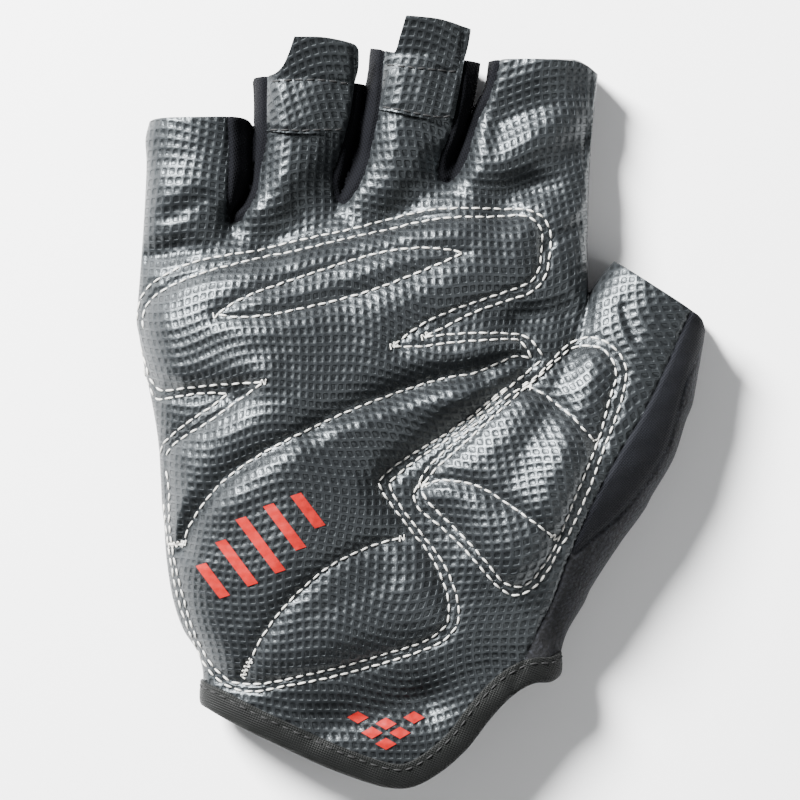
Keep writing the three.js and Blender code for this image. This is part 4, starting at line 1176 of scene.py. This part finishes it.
# Stitches
def tube_along(paths, radius, sides):
    """Places and faces of tubes along paths; radius is one number, or one for each point of a path."""
    angle = np.arange(sides) * 2 * math.pi / sides
    places, faces = [], []
    base = 0
    for path in paths:
        ahead = np.gradient(path, axis=0)
        ahead /= np.linalg.norm(ahead, axis=1)[:, None]
        side = np.cross(ahead, [0, 0, 1.0])
        side /= np.maximum(np.linalg.norm(side, axis=1)[:, None], 1e-9)
        up = np.cross(side, ahead)
        ring = np.cos(angle)[None, :, None] * side[:, None] + np.sin(angle)[None, :, None] * up[:, None]
        ring = path[:, None] + np.broadcast_to(radius, len(path))[:, None, None] * ring
        places.append(ring.reshape(-1, 3))
        for start in range(base, base + (len(path) - 1) * sides, sides):
            for k in range(sides):
                a, b = start + k, start + (k + 1) % sides
                faces.append([a, b, b + sides, a + sides])
        last = base + (len(path) - 1) * sides
        faces.append([base + k for k in reversed(range(sides))])
        faces.append([last + k for k in range(sides)])
        base = last + sides
    return np.vstack(places), faces


def arch(lift, sink):
    """Height of a stitch above the leather at each of its bends, with its ends sunk in."""
    return np.array([-sink, 0.02, lift, lift, 0.02, -sink])


def stitch_paths(line, height, lift=STITCH_LIFT):
    """A path for each stitch of a row over a surface, each a little unlike the last."""
    run = run_along(line)
    count = max(int(round(run[-1] / STITCH_PITCH)), 1)
    paths = []
    for n in range(count):
        skew = STITCH_SKEW[0] * math.sin(n * STITCH_SKEW[1])
        stretch = 1 + STITCH_STRETCH[0] * math.sin(n * STITCH_STRETCH[1])
        middle = (n + 0.5) * (run[-1] / count)
        spots = np.clip(middle + STITCH_BENDS * STITCH_LENGTH / 2 * stretch, 0, run[-1])
        x, y = np.interp(spots, run, line[:, 0]), np.interp(spots, run, line[:, 1])
        dx, dy = np.gradient(x), np.gradient(y)
        norm = np.maximum(np.hypot(dx, dy), 1e-9)
        x, y = x - dy / norm * skew * STITCH_BENDS, y + dx / norm * skew * STITCH_BENDS
        paths.append(np.stack([x, y, height(x, y) + arch(lift, STITCH_SINK)], 1))
    return paths


def stitches_on_ring(ring, pitch, length, lift, sink):
    """A path for each stitch round a closed ring, standing off upwards above the seam and down below it."""
    closed = np.vstack([ring, ring[:1]])
    run = run_along(closed)
    count = int(run[-1] / pitch)
    paths = []
    for n in range(count):
        spots = (n + 0.5) * run[-1] / count + STITCH_BENDS * length / 2
        path = np.stack([np.interp(spots, run, closed[:, k]) for k in range(3)], 1)
        path[:, 2] += arch(lift, sink) * np.where(path[:, 2] > SEAM_HEIGHT, 1.0, -1.0)
        paths.append(path)
    return paths


def stitching(name, paths, radius, sides, finish=None):
    return dress(sharp_mesh(name, *tube_along(paths, radius, sides)), "stitching", finish=finish)


def tack_path(points):
    """A line over the leather that swings from side to side of another."""
    path = curve(points, TACK_PITCH)
    ahead = np.gradient(path, axis=0)
    ahead /= np.hypot(*ahead.T)[:, None]
    side = np.stack([-ahead[:, 1], ahead[:, 0]], 1) * TACK_WIDTH
    side[::2] *= -1
    line = smooth(path + side, TACK_STEP)
    return np.column_stack([line, top_height(*line.T) + TACK_LIFT])


stitching("bar_tacks", [tack_path(points) for points in BAR_TACKS], TACK_RADIUS, 6)
pale_paths = [path for line in stitch_rows for path in stitch_paths(line, top_height)]
stitching("pale_stitching", pale_paths, STITCH_TAPER * STITCH_RADIUS, 7)


# Pull tabs
def distance_to(line, x, y):
    """Distance from each place to the nearest point of a line."""
    return np.min(np.hypot(x[..., None] - line[:, 0], y[..., None] - line[:, 1]), axis=-1)


def tab_piece(node, tab):
    """Makes a tab and gives the paths of its stitches."""
    edge_line = chain(*tab["outline"])
    low, high = edge_line.min(0) - 1, edge_line.max(0) + 1
    x, y = np.meshgrid(*boxed(low, high, GRID))
    mask = inside(edge_line, cell_middles(x), cell_middles(y))
    snap(x, y, mask, [edge_line], TAB_SNAP)
    end = at([(0, tab["end"])])[0, 1]
    rows = [curve(row) for row in tab["rows"]]

    def height(px, py):
        on_finger = top_height(px, np.minimum(py, end - TAB_BEND))
        z = on_finger + TAB_GAP + TAB_THICKNESS + TAB_SLOPE * np.maximum(py - end, 0)
        for row in rows:
            z = z - TAB_ROW_DIP * bell(distance_to(row[::4], px, py), TAB_ROW_REACH)
        return z

    edge = distance_to(edge_line[::3], x, y)
    lip = np.clip(1 - edge / TAB_LIP_REACH, 0, 1)
    z = height(x, y) - TAB_LIP_DROP * (1 - np.sqrt(1 - lip ** 2))
    turn = math.radians(tab["turn"])
    across, along = x - (low[0] + high[0]) / 2, y - (low[1] + high[1]) / 2
    u = (across * math.cos(turn) + along * math.sin(turn)) / NET_ACROSS
    v = ((along + TAB_BOW * across ** 2) * math.cos(turn) - across * math.sin(turn)) / NET_ALONG
    pits = pit(u, v) * np.clip(edge / TAB_PIT_REACH, 0, 1)
    outer = np.stack([x, y, z - PIT_DEPTH * pits], -1)
    inner = np.stack([x, y, z - TAB_THICKNESS], -1)
    net = np.stack([u, v, np.ones(u.shape)], -1)
    dress(sheet_piece(node + "_leather", mask, outer, inner, net, block=3), "tab_leather", node)
    return [path for row in rows for path in stitch_paths(row, height, DARK_LIFT)]


dark_paths = [path for node, tab in TABS.items() for path in tab_piece(node, tab)]


# The binding: a tape folded over the wrist's edge, all the way round
def relaxed(vectors, rounds):
    """Directions round a ring, evened out with their neighbours."""
    for _ in range(rounds):
        vectors = (np.roll(vectors, 1, axis=0) + 2 * vectors + np.roll(vectors, -1, axis=0)) / 4
    return vectors / np.linalg.norm(vectors, axis=1)[:, None]


def binding():
    """Makes the tape and gives the line of its stitches."""
    # The wrist's edge: across the front from the little finger side, then back along the underside
    turn = np.linspace(0, 2 * math.pi, RING_STEPS, endpoint=False)
    front = turn < math.pi
    share = -np.cos(turn)
    (left_x, left_y), (right_x, right_y) = back_hem
    x = (left_x + right_x) / 2 + share * (right_x - left_x) / 2
    hem = mouths["wrist"][np.argsort(mouths["wrist"][:, 0])]
    y = np.where(front, np.interp(x, *hem.T), np.interp(x, [left_x, right_x], [left_y, right_y]))
    # Direction in from the edge, square to the hem and eased round the sides
    inward = np.stack([np.roll(y, 1) - np.roll(y, -1), np.roll(x, -1) - np.roll(x, 1)], 1)
    inward[~front] *= -1
    inward /= np.maximum(np.linalg.norm(inward, axis=1)[:, None], 1e-9)
    inward[inward[:, 1] < 0] *= -1
    upright = smoothstep(*SIDE_TURN, np.abs(share))[:, None]
    inward = relaxed(inward * (1 - upright) + np.array([0.0, 1.0]) * upright, 12)
    own_low, own_high = np.interp(y, *body_left), np.interp(y, *body_right)
    columns = []
    for depth, off in TAPE_PROFILE:
        px, py = x + inward[:, 0] * depth, y + inward[:, 1] * depth
        # Stay on the ring's own share of the width as the sides slope
        low, high = np.interp(py, *body_left), np.interp(py, *body_right)
        px = px + np.abs(share) ** 6 * np.where(x < (own_low + own_high) / 2, low - own_low, high - own_high)
        px = np.clip(px, low + 0.02, high - 0.02)
        z = np.where(front, sheet_height(px, py), under_height(px, py))
        normal = relaxed(np.where(front[:, None], surface_normal(sheet_height, px, py),
                                  -surface_normal(under_height, px, py)), 6)
        columns.append(np.stack([px, py, z], 1) - normal * WALL / 2 + normal * off)
    places = np.stack(columns, 1)
    places[..., 2] = np.maximum(places[..., 2], 0.0)
    number = np.arange(places[..., 0].size).reshape(places.shape[:2])
    after, across = np.roll(number, -1, axis=0), np.roll(number, -1, axis=1)
    faces = np.stack([number, after, np.roll(after, -1, axis=1), across], -1).reshape(-1, 4)
    dress(sharp_mesh("wrist_binding", places.reshape(-1, 3), faces), "binding_tape", "cuff_binding")
    return places[:, TAPE_ROW[0]] * 0.5 + places[:, TAPE_ROW[1]] * 0.5


ring_paths = stitches_on_ring(binding(), pitch=2.6, length=1.9, lift=0.08, sink=0.25)
dark_paths += [path for path in ring_paths if path[:, 2].mean() > 1.2]
stitching("dark_stitching", dark_paths, STITCH_TAPER * DARK_RADIUS, 6, DARK_THREAD)


# Raised red marks
def marks_piece(name, marks, steps):
    """Thin raised patches over the leather, each between four corners."""
    places, faces, sharp = [], [], []
    s, t = np.meshgrid(np.linspace(0, 1, steps[0] + 1), np.linspace(0, 1, steps[1] + 1))
    rows, cols = s.shape
    ring = [(0, i) for i in range(cols - 1)] + [(j, cols - 1) for j in range(rows - 1)] \
        + [(rows - 1, i) for i in range(cols - 1, 0, -1)] + [(j, 0) for j in range(rows - 1, 0, -1)]
    for number, corners in enumerate(marks):
        a, b, c, d = at(corners)
        flat = ((1 - s) * (1 - t))[..., None] * a + (s * (1 - t))[..., None] * b \
            + (s * t)[..., None] * c + ((1 - s) * t)[..., None] * d
        x, y = flat[..., 0], flat[..., 1]
        z = top_height(x, y) - MARK_PITS * PIT_DEPTH * pit(*net_place(x, y))
        for height in (z + MARK_HEIGHT, z - MARK_SINK):
            places.append(np.stack([x, y, height], -1).reshape(-1, 3))
        top = 2 * number * rows * cols + np.arange(rows * cols).reshape(rows, cols)
        low = top + rows * cols
        for j in range(rows - 1):
            for i in range(cols - 1):
                faces.append([top[j, i], top[j, i + 1], top[j + 1, i + 1], top[j + 1, i]])
                faces.append([low[j, i], low[j + 1, i], low[j + 1, i + 1], low[j, i + 1]])
        for p, q in zip(ring, ring[1:] + ring[:1]):
            faces.append([top[q], top[p], low[p], low[q]])
            sharp.append((top[p], top[q]))
    return dress(sharp_mesh(name, np.vstack(places), faces, sharp), "print")


def bar_corners(x, y, length):
    ax, ay = math.cos(BAR_TURN) * length, math.sin(BAR_TURN) * length
    wx, wy = (turn(BAR_TURN - BAR_SKEW) * BAR_WIDTH / 2 for turn in (math.cos, math.sin))
    return [(x - ax - wx, y - ay - wy), (x - ax + wx, y - ay + wy), (x + ax + wx, y + ay + wy),
            (x + ax - wx, y + ay - wy)]


def diamond_corners(x, y):
    half_x, half_y = DIAMOND_HALF
    return [(x - half_x, y), (x, y + half_y), (x + half_x, y), (x, y - half_y)]


marks_piece("red_bars", [bar_corners(*bar) for bar in BARS], (6, 24))
marks_piece("red_diamonds", [diamond_corners(*diamond) for diamond in DIAMONDS], (8, 8))

# The floor, the lights and the camera
FLOOR_HALF = 1.5
FLOOR_GAP = 0.0003
floor_mesh = bpy.data.meshes.new("floor")
floor_corners = [(-FLOOR_HALF, -FLOOR_HALF, 0), (FLOOR_HALF, -FLOOR_HALF, 0), (FLOOR_HALF, FLOOR_HALF, 0),
                 (-FLOOR_HALF, FLOOR_HALF, 0)]
floor_mesh.from_pydata(floor_corners, [], [(0, 1, 2, 3)])
floor_mesh.materials.append(Shading("floor paint", (0.96, 0.96, 0.96), 0.9).material)
floor = bpy.data.objects.new("floor", floor_mesh)
floor.location.z = -FLOOR_GAP
bpy.context.scene.collection.objects.link(floor)


def area_light(name, place, size, power, aim=(0, 0, 0.01)):
    light = bpy.data.lights.new(name, "AREA")
    light.shape = "DISK"
    light.size = size
    light.energy = power
    lamp = bpy.data.objects.new(name, light)
    lamp.location = place
    lamp.rotation_euler = (Vector(place) - Vector(aim)).to_track_quat("Z", "Y").to_euler()
    bpy.context.scene.collection.objects.link(lamp)


area_light("key", place=(-0.75, 0.75, 0.75), size=0.45, power=150.0)
area_light("fill", place=(0.8, -0.5, 0.9), size=1.0, power=6.0)
world = bpy.data.worlds.new("studio")
world.use_nodes = True
world.node_tree.nodes["Background"].inputs["Color"].default_value = (0.95, 0.97, 1.0, 1)
world.node_tree.nodes["Background"].inputs["Strength"].default_value = 0.24
bpy.context.scene.world = world

CAMERA_HEIGHT = 1.1
FOCUS_HEIGHT = 0.014
SENSOR = 36.0
centre = at([(IMAGE_SIZE / 2, IMAGE_SIZE / 2)])[0] * MM
frame_width = IMAGE_SIZE * MM_PER_PX[0] * MM
camera_data = bpy.data.cameras.new("camera")
camera_data.sensor_width = SENSOR
camera_data.lens = SENSOR * (CAMERA_HEIGHT - FOCUS_HEIGHT) / frame_width
camera_data.clip_start = 0.05
camera = bpy.data.objects.new("camera", camera_data)
camera.location = (centre[0], centre[1], CAMERA_HEIGHT)
bpy.context.scene.collection.objects.link(camera)
bpy.context.scene.camera = camera
